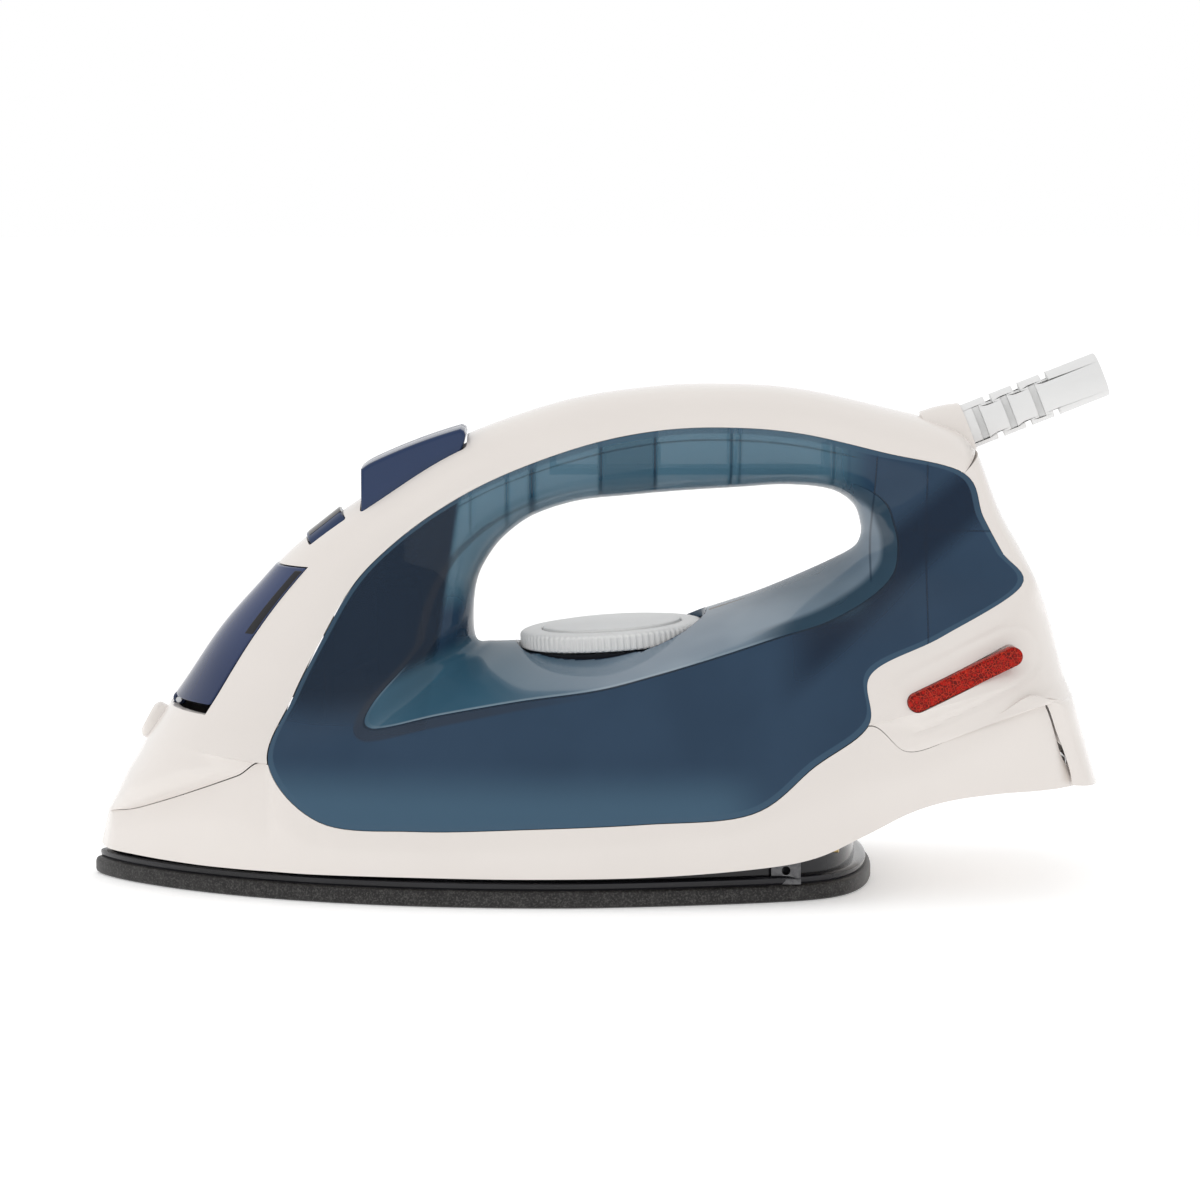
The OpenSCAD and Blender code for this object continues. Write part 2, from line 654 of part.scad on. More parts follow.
module heel_floor() {
    color(white) intersection() {
        plan_plate(-150, 134, 58, 60, 3.4);
        rotate([90, 0, 0]) linear_extrude(140, center = true)
            polygon([[66, 17.1], [72, 19.2], [84, 25], [95, 28.2], [108, 29.8], [118, 30.2],
                     [132, 30.4], [132, 32.6], [118, 32.4], [108, 32], [95, 30.5], [84, 27.4],
                     [72, 21.6], [66, 19.4]]);
    }
}
module rear_cover() {
    color(white) difference() {
        sheet(rear_layer(0), rear_layer(cover_wall), false);
        translate(rear_screw_at) rotate([0, 66, 0]) cylinder(h = 30, d = 3.4, center = true);
        translate(rear_screw_at) rotate([0, 66, 0]) translate([0, 0, -1]) cylinder(h = 6, d = 6.4);
        sleeve_axis() translate([0, 0, -20]) cylinder(h = 40, d = sleeve_d + 2.2);
        for (side = [-1, 1]) lens_frame(side) translate([0, 0, -6]) lens_bar(0.1, 12);
        for (side = [-1, 1]) foot_shape(side, 8.1);
    }
}
rear_screw_at = [120.6, 0, 84.5];
module rear_screw() {
    color(steel) translate(rear_screw_at) rotate([0, 66, 0]) {
        translate([0, 0, -12]) cylinder(h = 12, d = 3);
        translate([0, 0, -0.95]) cylinder(h = 1, d = 6);
    }
}
module foot_shape(side, d) {
    translate([135.2, side * 22, 34]) rotate([0, -107, 0]) cylinder(h = 3, d = d);
}
module heel_foot(side) {
    color(rubber) foot_shape(side, 8);
}
module heel_foot_left() { heel_foot(-1); }
module heel_foot_right() { heel_foot(1); }

// Red lens: a round-ended bar let into the side capsule
lens_at = [98.8, 46.2, 60.6];
lens_len = 29;
lens_r = 2.6;
lens_rise = 24.5;
lens_turn = 9;
module lens_frame(side) {
    translate([lens_at.x, side * lens_at.y, lens_at.z]) rotate([0, 0, -side * lens_turn])
        rotate([side * -90, 0, 0]) rotate([0, 0, side * -lens_rise]) children();
}
module lens_bar(gap, h) {
    translate([-lens_len / 2, -lens_r - gap, 0]) cube([lens_len, 2 * (lens_r + gap), h]);
    for (end = [-1, 1]) translate([end * lens_len / 2, 0, 0]) cylinder(h = h, r = lens_r + gap);
}
module lens(side) {
    color("#B0281C") lens_frame(side) translate([0, 0, -2.6]) lens_bar(0, 3.2);
}
module lens_left() { lens(-1); }
module lens_right() { lens(1); }
module pilot_lamp() {
    color("#E8B060") translate([100, 0, 58]) {
        cylinder(h = 10, d = 5);
        for (y = [-1.5, 1.5]) translate([0, y, -8]) cylinder(h = 9, d = 0.8);
    }
}

// ---------------------------------------------------------------- pumps

pump_x = -56;
cylinder_low = 58;
cylinder_top = 82;
boss_low = 96;
piston_low = cylinder_low + 7 + press_travel;

module pump_bracket() {
    color(navy) difference() {
        translate([pump_x - 9, -15, cylinder_low - 2.5]) cube([18, 30, 2.5]);
        translate([pump_x, -pump_y, 0]) cylinder(h = 100, d = 3.3);
    }
}
module pump_cylinder(side) {
    color("#C9D4DC") translate([pump_x, side * pump_y, cylinder_low]) difference() {
        cylinder(h = cylinder_top - cylinder_low, d = 12);
        translate([0, 0, 2]) cylinder(h = cylinder_top, d = pump_bore);
        if (side < 0) translate([0, 0, -1]) cylinder(h = 4, d = 2);
    }
}
module pump_piston(side) {
    color(steel) translate([pump_x, side * pump_y, piston_low])
        cylinder(h = boss_low - piston_low, d = pump_bore - 2 * run_gap);
}
// Side outline of a button: upright front, domed top that rises to the rear, slanted underside
button_side = [[button_x0, 93], [button_x0, 114.4], [-63, 116.6], [-57, 119.4], [-50, 122.2],
               [-43, 124.6], [-38.4, 126], [button_x1, 124.5], [-38, 121], [-39.5, 114]];
module pump_button(side) {
    color(navy) {
        translate([0, side > 0 ? button_half_w : -0.15, 0]) rotate([90, 0, 0])
            linear_extrude(button_half_w - 0.15) polygon(button_side);
        translate([pump_x, side * pump_y, boss_low]) cylinder(h = 8, d = 9);
    }
}
wire_r = 0.45;
spring_r = 5.1;
spring_turns = 5;
function spring_ring(i, n) =
    let (a = 360 * spring_turns * i / n,
         z = cylinder_top + wire_r + (boss_low - cylinder_top - 2 * wire_r) * i / n)
    [for (k = [0 : 5]) let (b = 60 * k)
        [(spring_r + wire_r * cos(b)) * cos(a), (spring_r + wire_r * cos(b)) * sin(a),
         z + wire_r * sin(b)]];
module pump_spring(side) {
    n = 14 * spring_turns;
    rings = [for (i = [0 : n]) spring_ring(i, n)];
    color(steel) translate([pump_x, side * pump_y, 0]) polyhedron(
        [for (r = rings) for (p = r) p],
        concat([for (i = [0 : n - 1]) for (k = [0 : 5])
                   let (a = 6 * i + k, b = 6 * i + (k + 1) % 6)
                   each [[a, b, b + 6], [a, b + 6, a + 6]]],
               [[5, 4, 3, 2, 1, 0]], [[for (k = [0 : 5]) 6 * n + k]]), convexity = 10);
}
module spray_button() { pump_button(1); }
module spray_piston() { pump_piston(1); }
module spray_cylinder() { pump_cylinder(1); }
module spray_spring() { pump_spring(1); }
module burst_button() { pump_button(-1); }
module burst_piston() { pump_piston(-1); }
module burst_cylinder() { pump_cylinder(-1); }
module burst_spring() { pump_spring(-1); }
module spray_tube() {
    color("#C9D4DC") pipe([pump_x - 6.6, pump_y, 62], [-114.9, 0, 38.1], 1.6, 0.9);
}
module burst_tube() {
    color("#C9D4DC") pipe([pump_x, -pump_y, cylinder_low], [pump_x, -pump_y, casting_top - 2], 1.6, 0.9);
}
module spray_nozzle() {
    color(white) translate(nozzle_at) rotate([0, nozzle_angle, 0]) difference() {
        union() {
            translate([0, 0, -10]) cylinder(h = 11.6, d = 11);
            translate([0, 0, 1.6]) cylinder(h = 1.2, d1 = 11, d2 = 8);
        }
        translate([0, 0, -11]) cylinder(h = 12, d = 3);
        cylinder(h = 8, d = 0.9);
    }
}

// ---------------------------------------------------------------- steam control

slider_at = [-76.3, 0, 98.2];
slider_angle = -38;
valve_x = -76;
module slider_frame() {
    translate(slider_at) rotate([0, slider_angle, 0]) children();
}
slider_half = 6;            // half length of the thumb piece along the cover
slot_half = 10;             // half length of its slot across the cover
thumb_side = [[0, -6], [0, -2.2], [2.4, 0.2], [6, 1.5], [9.6, 1.9], [12.8, 1.5], [12.8, -6]];
module steam_slider() {
    color(navy) slider_frame() translate([0, 2 * skin_gap - slot_half, 0]) {
        translate([-slider_half, 0, 0]) rotate([90, 0, 90])
            linear_extrude(2 * slider_half) polygon(thumb_side);
        translate([-slider_half - 1.2, 0.9, -6.6]) cube([2 * slider_half + 2.4, 11, 1.4]);
    }
}
module steam_rod() {
    color(brass) translate([valve_x, 0, 0]) {
        translate([0, 0, casting_top + 5.2]) cylinder(h = 60, d = 3);
        translate([0, 0, casting_top + 2.3]) cylinder(h = 2.95, d1 = 1, d2 = 3);
    }
}

// ---------------------------------------------------------------- handle and cord entry

module handle_frame() {
    color("#24455C") {
        translate([-14, -7, 113]) cube([78, 14, 1.8]);
        for (x = [-14, 0, 15, 36, 62])
            translate([x, -8, 113]) cube([1.8, 16, x < 0 ? 6 : 8]);
    }
}

sleeve_root = [102.5, 0, 125.9];
sleeve_low = -18;           // inner end of the sleeve, along its axis
flange_r = 7.1;
nut_r = 8.1;
nut_low = -21;
module sleeve_axis() {
    translate(sleeve_root) rotate([0, 90 - sleeve_rise, 0]) children();
}
module sleeve_collar() {
    color(white) sleeve_axis() rotate_extrude()
        polygon([[sleeve_d / 2 + 0.1, -12], [sleeve_d / 2 + 1, -12], [sleeve_d / 2 + 1, -0.4],
                 [sleeve_d / 2 + 0.6, 0], [sleeve_d / 2 + 0.1, 0]]);
}
module cord_sleeve() {
    pitch = 8.3;
    color("#F4F3F0") sleeve_axis() difference() {
        union() {
            translate([0, 0, sleeve_low]) cylinder(h = sleeve_len - sleeve_low, d = sleeve_d);
            translate([0, 0, sleeve_low]) cylinder(h = 2.5, r = flange_r);
        }
        translate([0, 0, sleeve_low - 1]) cylinder(h = sleeve_len - sleeve_low + 2, d = cord_bore);
        // slots that let the sleeve bend: pairs at the sides alternate with pairs above and below
        for (i = [0 : 2], turn = [0, 90]) rotate([0, 0, turn])
            translate([0, 0, 2.6 + pitch * (i + turn / 180)])
                for (side = [-1, 1]) translate([-5, side > 0 ? 4 : -10, 0]) cube([10, 6, 2]);
    }
}
module sleeve_nut() {
    color(black) sleeve_axis() rotate_extrude()
        polygon([[4, nut_low], [nut_r, nut_low], [nut_r, -12.3], [sleeve_d / 2 + 0.1, -12.3],
                 [sleeve_d / 2 + 0.1, -15.2], [flange_r + 0.2, -15.2],
                 [flange_r + 0.2, sleeve_low - 0.2], [4, sleeve_low - 0.2]]);
}
module terminal_block() {
    color("#D8D2C4") translate([88, -9, 96]) difference() {
        cube([11, 18, 9]);
        for (y = [3, 9, 15]) translate([-1, y, 4.5]) rotate([0, 90, 0]) cylinder(h = 13, d = 2.8);
    }
}
module cord_clamp() {
    color(black) translate([69, -8, 112]) difference() {
        cube([9, 16, 4]);
        translate([-1, 8, 4.6]) rotate([0, 90, 0]) cylinder(h = 11, d = 6);
    }
}
module internal_leads() {
    for (k = [0 : 2])
        color(["#7A4A2A", "#2B5FA8", "#4E8A3A"][k])
            rod([93, -6 + 6 * k, 95.3], [68 - 2 * k, -20 + 20 * k, 29], 1.1);
}

soleplate();
sole_casting();
heating_element();
terminal_left();
terminal_right();
chamber_cover();
drip_seat();
heat_shield();
sole_screw_front();
sole_screw_left();
sole_screw_right();
sole_clip_left();
sole_clip_right();
thermostat_body();
thermostat_blade();
thermal_fuse();
thermostat_spindle();
dial_seat();
dial();
dial_cap();
tank_well();
tank_floor();
tank_left();
tank_right();
tank_seal();
fill_funnel();
fill_door();
door_pin();
door_seal();
upper_cover();
lower_skirt();
heel_floor();
rear_cover();
rear_screw();
heel_foot_left();
heel_foot_right();
lens_left();
lens_right();
pilot_lamp();
pump_bracket();
spray_button();
spray_piston();
spray_cylinder();
spray_spring();
spray_tube();
spray_nozzle();
burst_button();
burst_piston();
burst_cylinder();
burst_spring();
burst_tube();
steam_slider();
steam_rod();
handle_frame();
sleeve_collar();
cord_sleeve();
sleeve_nut();
terminal_block();
cord_clamp();
internal_leads();
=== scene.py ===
"""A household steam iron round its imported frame: smooth shells, controls and moulded finishes.

Lengths inside the shape functions are millimetres in the frame's axes: X from the nose to the
heel, Y across, Z up from the ironing face. They become metres when a mesh is made.
"""
import math

import bpy
import numpy as np
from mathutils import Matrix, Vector


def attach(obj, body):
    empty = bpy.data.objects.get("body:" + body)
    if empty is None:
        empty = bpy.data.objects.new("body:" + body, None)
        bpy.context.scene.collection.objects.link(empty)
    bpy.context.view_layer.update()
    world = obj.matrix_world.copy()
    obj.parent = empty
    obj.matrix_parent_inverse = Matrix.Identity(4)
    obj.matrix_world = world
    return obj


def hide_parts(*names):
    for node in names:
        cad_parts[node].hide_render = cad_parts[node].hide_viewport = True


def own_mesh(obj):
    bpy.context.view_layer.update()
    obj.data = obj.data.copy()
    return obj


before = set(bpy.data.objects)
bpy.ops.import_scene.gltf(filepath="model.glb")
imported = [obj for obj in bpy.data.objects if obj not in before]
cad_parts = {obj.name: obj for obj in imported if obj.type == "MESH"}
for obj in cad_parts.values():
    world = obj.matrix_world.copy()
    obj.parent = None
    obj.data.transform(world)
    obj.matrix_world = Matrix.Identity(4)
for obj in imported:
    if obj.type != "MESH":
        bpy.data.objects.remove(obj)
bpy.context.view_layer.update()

MM = 0.001
HALF_LIMIT = 59.49         # half width that the shells stay within
PI = math.pi

# ------------------------------------------------------------------ guide rows of the shells

SECTION_POWER, REAR_POWER = 2.3, 3.4
EDGE, SKIRT_TOP, RING_OUTER, RING_FOLD = slice(0, 3), slice(3, 6), slice(5, 8), slice(8, 9)
# opening edge (x, z), crease (x, z, half width), outer edge (x, z, half width), crease weight
RING_ROWS = np.array([
    [-34.5, 66.5, -70, 50, 40, -90.5, 36.5, 39, 0.6], [-35.3, 74, -60, 66, 25, -84, 54, 29.5, 0],
    [-34.3, 83, -54, 76, 20, -77, 68, 23, 0], [-31, 90, -48, 85, 18, -69, 82, 19, 0],
    [-26, 96, -40, 96, 17, -60, 92, 17.5, 0], [-18, 101.5, -30, 104, 17, -46, 103, 17, 0],
    [-6, 105.3, -14, 110, 17, -28, 113, 17, 0], [8, 106.8, 6, 113, 17, -4, 121.8, 17, 0],
    [22, 108, 22, 114, 17, 17, 126, 17, 0], [38, 109, 38, 115, 17, 37, 126.7, 17, 0],
    [52, 109.8, 54, 115, 17, 56, 125, 17.5, 0], [64, 108.5, 68, 113, 17, 78, 120, 19, 0.2],
    [70.5, 104.5, 78, 106, 17, 100, 114.5, 21, 0.5], [72.7, 99, 81, 100, 18, 105, 103, 24.5, 0.8],
    [72.6, 95, 82, 94, 20, 110, 93.5, 27.5, 1], [70.5, 92, 80.5, 87, 24, 115, 84.5, 31.5, 1],
    [64, 88.5, 74, 81, 29, 93, 71.5, 39, 1], [54, 84, 62, 75, 35, 73.5, 62, 44.5, 1],
    [43, 79.5, 49, 71.5, 40, 72.5, 48.5, 49, 1], [31, 75.5, 31, 66, 43, 58, 38, 53, 1],
    [18, 71.5, 15, 61.5, 45, 41, 25.5, 56.5, 1], [4, 68, -1, 57.5, 46, 12, 23, 58.5, 1],
    [-10, 66.2, -22, 54.5, 46, -20, 21.5, 58, 1], [-22, 66, -44, 50.5, 45, -50, 20.5, 55, 1],
    [-30, 65.8, -62, 46.5, 42, -76, 22, 48.5, 1]])
# edge (x, z, half width) and ridge in the middle plane (x, z)
COVER_ROWS = np.array([
    [-137.2, 18.8, 5, -138.2, 18.2], [-131, 20.5, 14, -136.5, 21.5],
    [-122, 23.8, 23, -134.5, 25.5], [-110.5, 28.5, 31, -132.5, 29.5],
    [-99, 33, 36.5, -129.5, 34.5], [-90.5, 36.5, 39, -125.5, 41.5], [-84, 54, 29.5, -116, 55],
    [-77, 68, 23, -106, 69.6], [-69, 82, 19, -95.5, 81.7], [-60, 92, 17.5, -84, 93.5],
    [-46, 103, 17, -66, 106.3], [-28, 113, 17, -42, 121.5], [-4, 121.8, 17, -12, 132.6],
    [17, 126, 17, 14, 137], [37, 126.7, 17, 36, 137.8], [56, 125, 17.5, 56, 136.3],
    [78, 120, 19, 78, 131.5], [100, 114.5, 21, 98, 126], [100, 114.5, 21, 104.2, 120]])
# bottom edge (x, z, half width) and top seam (x, z, half width)
SKIRT_ROWS = np.array([
    [-140.3, 8.5, 0, -138.2, 17.8, 0], [-137, 8.2, 9, -136.2, 19, 7],
    [-130, 8, 16.5, -130, 20.5, 15],
    [-121, 7.8, 24.5, -121, 24, 23.5], [-110, 7.6, 32.5, -110, 28.5, 31.2],
    [-99, 7.6, 39, -99, 33, 36.5], [-90, 7.7, 43.5, -90.5, 36.5, 39],
    [-76, 7.8, 49.5, -76, 22, 48.5],
    [-50, 8, 55.5, -50, 20.5, 55], [-20, 8, 58.5, -20, 21.5, 58], [12, 8.5, 58.5, 12, 23, 58.5],
    [41, 10.3, 56, 41, 25.5, 56.5], [58, 13, 54, 58, 38, 53], [72, 19, 51.5, 72.5, 48.5, 49],
    [84, 24.8, 50, 83, 41.5, 49.5], [95, 28, 49, 96, 45.5, 49], [108, 29.6, 47.5, 108, 51.5, 47.5],
    [118, 30, 45, 119, 55.5, 44.5], [126, 30.2, 40, 126, 38, 40], [131.5, 30.3, 30, 131.5, 33, 30],
    [133, 30.3, 0, 133, 33, 0]])
# edge (x, z, half width) and the middle of the heel (x, z)
REAR_ROWS = np.array([
    [101, 113.5, 21.5, 104.6, 119.5], [105, 103, 24.5, 110.8, 103.4],
    [110, 93.5, 27.5, 116.3, 93.5],
    [115.3, 84.5, 31.5, 120.8, 84.5], [105, 77.5, 36, 123, 79], [93, 71.5, 39.5, 124.3, 75],
    [82, 66.5, 43, 125.5, 71], [73.5, 61.5, 45, 126.4, 67.5], [72, 55, 47, 127, 65],
    [73.5, 48.5, 48.5, 127.5, 63], [78, 43.6, 49, 128, 61], [84, 41.7, 49.3, 128.6, 59],
    [96, 45.7, 49, 129.3, 57], [108, 51.7, 47.5, 130, 55], [119, 55.7, 44.8, 130.8, 52.5],
    [124.2, 45, 42.5, 133.2, 44], [127.5, 36, 41.5, 136, 34.5], [128.5, 31, 41, 137.4, 30.5]])

DIAL_AT, DIAL_TILT, DIAL_R, DIAL_RIM, DIAL_LOW = np.array([3.6, 0, 65.6]), 3.7, 26.0, 5.0, -12
KNURLS = 90
BUTTON_X0, BUTTON_X1, BUTTON_W = -66.2, -37.2, 11.2
SLIDER_AT, SLIDER_TURN, SLIDER_HALF, SLOT_HALF = np.array([-76.3, 0, 98.2]), -38, 6, 10
NOZZLE_AT, NOZZLE_TURN, NOZZLE_R = np.array([-124.4, 0, 43]), -62, 5.5
DOOR_S0, DOOR_S1, DOOR_A, DOOR_T, DOOR_PROUD = 5.6, 8.55, 37, 2.4, 0.4
DOOR_PIVOT, KNUCKLE_R, KNUCKLE_HALF, PIN_BORE_R = np.array([-117.3, 0, 50.4]), 1.9, 6, 0.86
LENS_AT, LENS_LEN, LENS_R, LENS_RISE, LENS_TURN = np.array([98.8, 46.2, 60.6]), 29, 2.6, 24.5, 9
SLEEVE_AT, SLEEVE_RISE, SLEEVE_R = np.array([102.5, 0, 125.9]), 21.6, 6.3
SLEEVE_LEN, SLEEVE_LOW, FLANGE_R, CORD_R = 40, -18, 7.1, 3.5
SLOTS, SLOT_PITCH, SLOT_WIDTH = 3, 8.3, 2
SCREW_AT, SCREW_TURN, SCREW_HOLE_R = np.array([120.6, 0, 84.5]), 66, 3.2
PLATE_T, SOLE_X0, SOLE_X1, SOLE_W, WIDEST_X = 4.8, -142, 76, 59, -10
WALL, TANK_WALL, MIDDLE = 2.2, 2.0, 0.06       # shell thicknesses, and half the tank's middle seam
GAP = 0.3                                      # clearance round the parts that move in a cover



# ------------------------------------------------------------------ shapes

def rows_at(rows, s, loop=False):
    """Catmull-Rom blend of four neighbouring guide rows a, b, c, d at the part t of the way from b
    to c: half of (2b + (c - a)t + (2a - 5b + 4c - d)t squared + (3b - a - 3c + d)t cubed)."""
    s = np.atleast_1d(np.asarray(s, float))
    n, i = len(rows), np.floor(s).astype(int)
    if not loop:
        i = np.minimum(i, n - 2)
    t = (s - i)[:, None]
    a, b, c, d = (rows[(i + k) % n if loop else np.clip(i + k, 0, n - 1)] for k in (-1, 0, 1, 2))
    return 0.5 * (2 * b + (c - a) * t + (2 * a - 5 * b + 4 * c - d) * t ** 2
                  + (3 * b - a - 3 * c + d) * t ** 3)


def ring_surface(s, c):
    """Tank and handle: across part c the round section is a superellipse quarter, and where the
    row's weight says so it is blended into a deck (c below a half) and a bulged flank."""
    r = rows_at(RING_ROWS, s, True)[:, None, :]
    c = np.asarray(c)[None, :]
    a, e = PI / 2 * c, 2 / SECTION_POWER
    f = 1 - np.clip(np.cos(a), 0, 1) ** e
    soft = np.stack([r[..., 0] + (r[..., 5] - r[..., 0]) * f, r[..., 7] * np.sin(a) ** e,
                     r[..., 1] + (r[..., 6] - r[..., 1]) * f], -1)
    t = np.where(c < 0.5, 2 * c, 2 * c - 1)
    near = np.stack([r[..., 0] + (r[..., 2] - r[..., 0]) * t ** 1.5, r[..., 4] * t,
                     r[..., 1] + (r[..., 3] - r[..., 1]) * t ** 1.5], -1)
    far = np.stack([r[..., 2] + (r[..., 5] - r[..., 2]) * t,
                    r[..., 4] + (r[..., 7] - r[..., 4]) * t + 1.2 * np.sin(PI * t),
                    r[..., 3] + (r[..., 6] - r[..., 3]) * t], -1)
    sharp = np.where((c < 0.5)[..., None], near, far)
    return soft + (sharp - soft) * np.clip(r[..., 8:9], 0, 1)


COVER_MEETS, SKIRT_MEETS = 5, (6, 13)      # rows where the cover and the skirt reach the ring
# places on the ring that rows 0 to 9 of the rear cover touch, and on the skirt for rows 9 to 14
REAR_ON_RING = [12, 13, 14, 15, 15.5, 16, 16.6, 17, 17.5, 18]
REAR_ON_SKIRT = [13, 13.6, 14, 15, 16, 17]


def ring_edge(s):
    """Outer edge of the ring at places along it."""
    return rows_at(RING_ROWS, s, True)[:, RING_OUTER]


def skirt_rows(s):
    """Rows of the skirt, with the ring's edge for a top seam between the two places it meets."""
    rows = rows_at(SKIRT_ROWS, s)
    met = (s >= SKIRT_MEETS[0]) & (s <= SKIRT_MEETS[1])
    rows[met, SKIRT_TOP] = ring_edge(len(RING_ROWS) + SKIRT_MEETS[0] - s[met])
    return rows


def cover_rows(s):
    """Rows of the upper cover, with the skirt's seam at the nose and the ring's edge behind it; the
    last row closes its rear end round the sleeve."""
    rows, front = rows_at(COVER_ROWS, s), s < COVER_MEETS
    rows[front, EDGE] = rows_at(SKIRT_ROWS, s[front] + 1)[:, SKIRT_TOP]
    rows[~front, EDGE] = ring_edge(np.minimum(s[~front], len(COVER_ROWS) - 2) - COVER_MEETS)
    return rows


def rear_rows(s):
    """Rows of the rear cover, with the ring's edge and then the skirt's seam for an edge."""
    rows, ring, skirt = rows_at(REAR_ROWS, s), s <= 9, (s > 9) & (s <= 14)
    rows[ring, EDGE] = ring_edge(np.interp(s[ring], np.arange(10), REAR_ON_RING))
    met = skirt_rows(np.interp(s[skirt], np.arange(9, 15), REAR_ON_SKIRT))
    rows[skirt, EDGE] = met[:, SKIRT_TOP]
    return rows


def across(rows, a, inward=0.0, power=SECTION_POWER):
    """Section across a cover at angle a, from 0 on the near edge to pi on the far one: a
    superellipse from the edge to the ridge, moved inwards by a length."""
    x0, z0, w, xm, zm = (rows[:, k:k + 1] for k in range(5))
    a = np.atleast_2d(a)
    vx, vz = x0 - xm, z0 - zm
    k = inward / np.maximum(np.hypot(vx, vz), 6)
    w = w - inward * np.minimum(1, w / 12)
    xm, zm, e = xm + vx * k, zm + vz * k, 2 / power
    f = np.abs(np.sin(a)) ** e
    side = -np.sign(np.cos(a)) * np.abs(np.cos(a)) ** e
    return np.stack([x0 + (xm - x0) * f, w * side, z0 + (zm - z0) * f], -1)


def grid_normals(g, loop):
    """Unit normals of a grid: the cross product of the differences along its two directions."""
    if loop:
        du = np.roll(g, -1, 0) - np.roll(g, 1, 0)
    else:
        du = np.gradient(g, axis=0)
    n = np.cross(du, np.gradient(g, axis=1))
    return n / np.maximum(np.linalg.norm(n, axis=-1, keepdims=True), 1e-9)


def quads(n, m, wrap_n=False, wrap_m=False):
    """Faces of an n by m grid of points, whose rows or columns may wrap round."""
    i, j = np.meshgrid(np.arange(n if wrap_n else n - 1), np.arange(m if wrap_m else m - 1),
                       indexing="ij")
    i2, j2 = (i + 1) % n, (j + 1) % m
    return np.stack([i * m + j, i2 * m + j, i2 * m + j2, i * m + j2], -1).reshape(-1, 4)


def signed_volume(v, faces):
    """Sum over the triangles of the triple product of their corners, over six."""
    total = 0.0
    for f in faces:
        f = np.asarray(f)
        if f.ndim == 1:
            f = f[None, :]
        for k in range(1, f.shape[1] - 1):
            total += np.einsum("ij,ij->", v[f[:, 0]], np.cross(v[f[:, k]], v[f[:, k + 1]])) / 6
    return total


def solid(name, v, faces):
    """Mesh object from points in millimetres and arrays of faces, turned so it points outwards."""
    v = np.asarray(v, float).reshape(-1, 3)
    if signed_volume(v, faces) < 0:
        faces = [np.asarray(f)[..., ::-1] for f in faces]
    polygons = []
    for f in faces:
        f = np.asarray(f)
        polygons += [f.tolist()] if f.ndim == 1 else f.tolist()
    mesh = bpy.data.meshes.new(name)
    mesh.from_pydata((v * MM).tolist(), [], polygons)
    mesh.validate()
    obj = bpy.data.objects.new(name, mesh)
    bpy.context.scene.collection.objects.link(obj)
    return obj


def closed_sheet(name, outer, inner, loop):
    """Closed wall between two grids of the same size, with a rim along each open edge."""
    n, m = outer.shape[:2]
    v = np.concatenate([outer.reshape(-1, 3), inner.reshape(-1, 3)])
    o, k = n * m, np.arange(n if loop else n - 1)
    k2 = (k + 1) % n
    parts = [quads(n, m, loop), quads(n, m, loop)[:, ::-1] + o,
             np.stack([k2 * m, k * m, k * m + o, k2 * m + o], -1),
             np.stack([k * m + m - 1, k2 * m + m - 1, k2 * m + m - 1 + o, k * m + m - 1 + o], -1)]
    if not loop:
        j, z = np.arange(m - 1), (n - 1) * m
        parts += [np.stack([j, j + 1, j + 1 + o, j + o], -1),
                  np.stack([z + j + 1, z + j, z + j + o, z + j + 1 + o], -1)]
    return solid(name, v, parts)


def turned_solid(name, profile, steps, frame_at, wave=None):
    """Closed turned piece from a profile of (radius, height) that starts and ends on the axis or
    meets itself. wave(angle) adds to the radius as much as the profile's third column says."""
    p = np.asarray(profile, float)
    a = np.linspace(0, 2 * PI, steps, endpoint=False)[:, None]
    r = p[None, :, 0] + (wave(a) * p[None, :, 2] if wave else 0 * a)
    g = frame_at(np.stack([r * np.cos(a), r * np.sin(a), p[None, :, 1] + 0 * r], -1))
    n, m = g.shape[:2]
    if p[0, 0] > 0:
        return solid(name, g, [quads(n, m, True, True)])
    v = np.concatenate([g[:, 1:-1].reshape(-1, 3), [g[0, 0], g[0, -1]]])
    w, k = m - 2, np.arange(n)
    k2, low, top = (k + 1) % n, n * w, n * w + 1
    return solid(name, v, [quads(n, w, True), np.stack([k2 * w, k * w, np.full(n, low)], -1),
                           np.stack([k * w + w - 1, k2 * w + w - 1, np.full(n, top)], -1)])


def placed(at, turn_y=0.0):
    """Function that turns points about Y, in degrees, and moves them to a place."""
    b = math.radians(turn_y)
    m = np.array([[math.cos(b), 0, math.sin(b)], [0, 1, 0], [-math.sin(b), 0, math.cos(b)]])
    return lambda g: np.asarray(g, float) @ m.T + np.asarray(at, float)


on_dial = placed(DIAL_AT, -DIAL_TILT)
on_slider = placed(SLIDER_AT, SLIDER_TURN)
on_nozzle = placed(NOZZLE_AT, NOZZLE_TURN)
on_sleeve = placed(SLEEVE_AT, 90 - SLEEVE_RISE)
on_screw = placed(SCREW_AT, SCREW_TURN)
upright = placed((0, 0, 0))


def on_hinge(g):
    """Frame of the door's hinge, whose third axis runs across the iron."""
    return np.stack([g[..., 0], g[..., 2], g[..., 1]], -1) + DOOR_PIVOT


def on_lens(side):
    """Frame of a red lens: x along the bar, z out of the flank."""
    rise, turn = math.radians(LENS_RISE), math.radians(LENS_TURN)
    along = np.array([math.cos(rise) * math.cos(turn), -side * math.cos(rise) * math.sin(turn),
                      math.sin(rise)])
    out = np.array([math.sin(turn), side * math.cos(turn), 0])
    up = np.cross(out, along) * side
    m = np.stack([along, up, out], 1)
    at = LENS_AT * np.array([1, side, 1])
    return lambda g: np.asarray(g, float) @ m.T + at


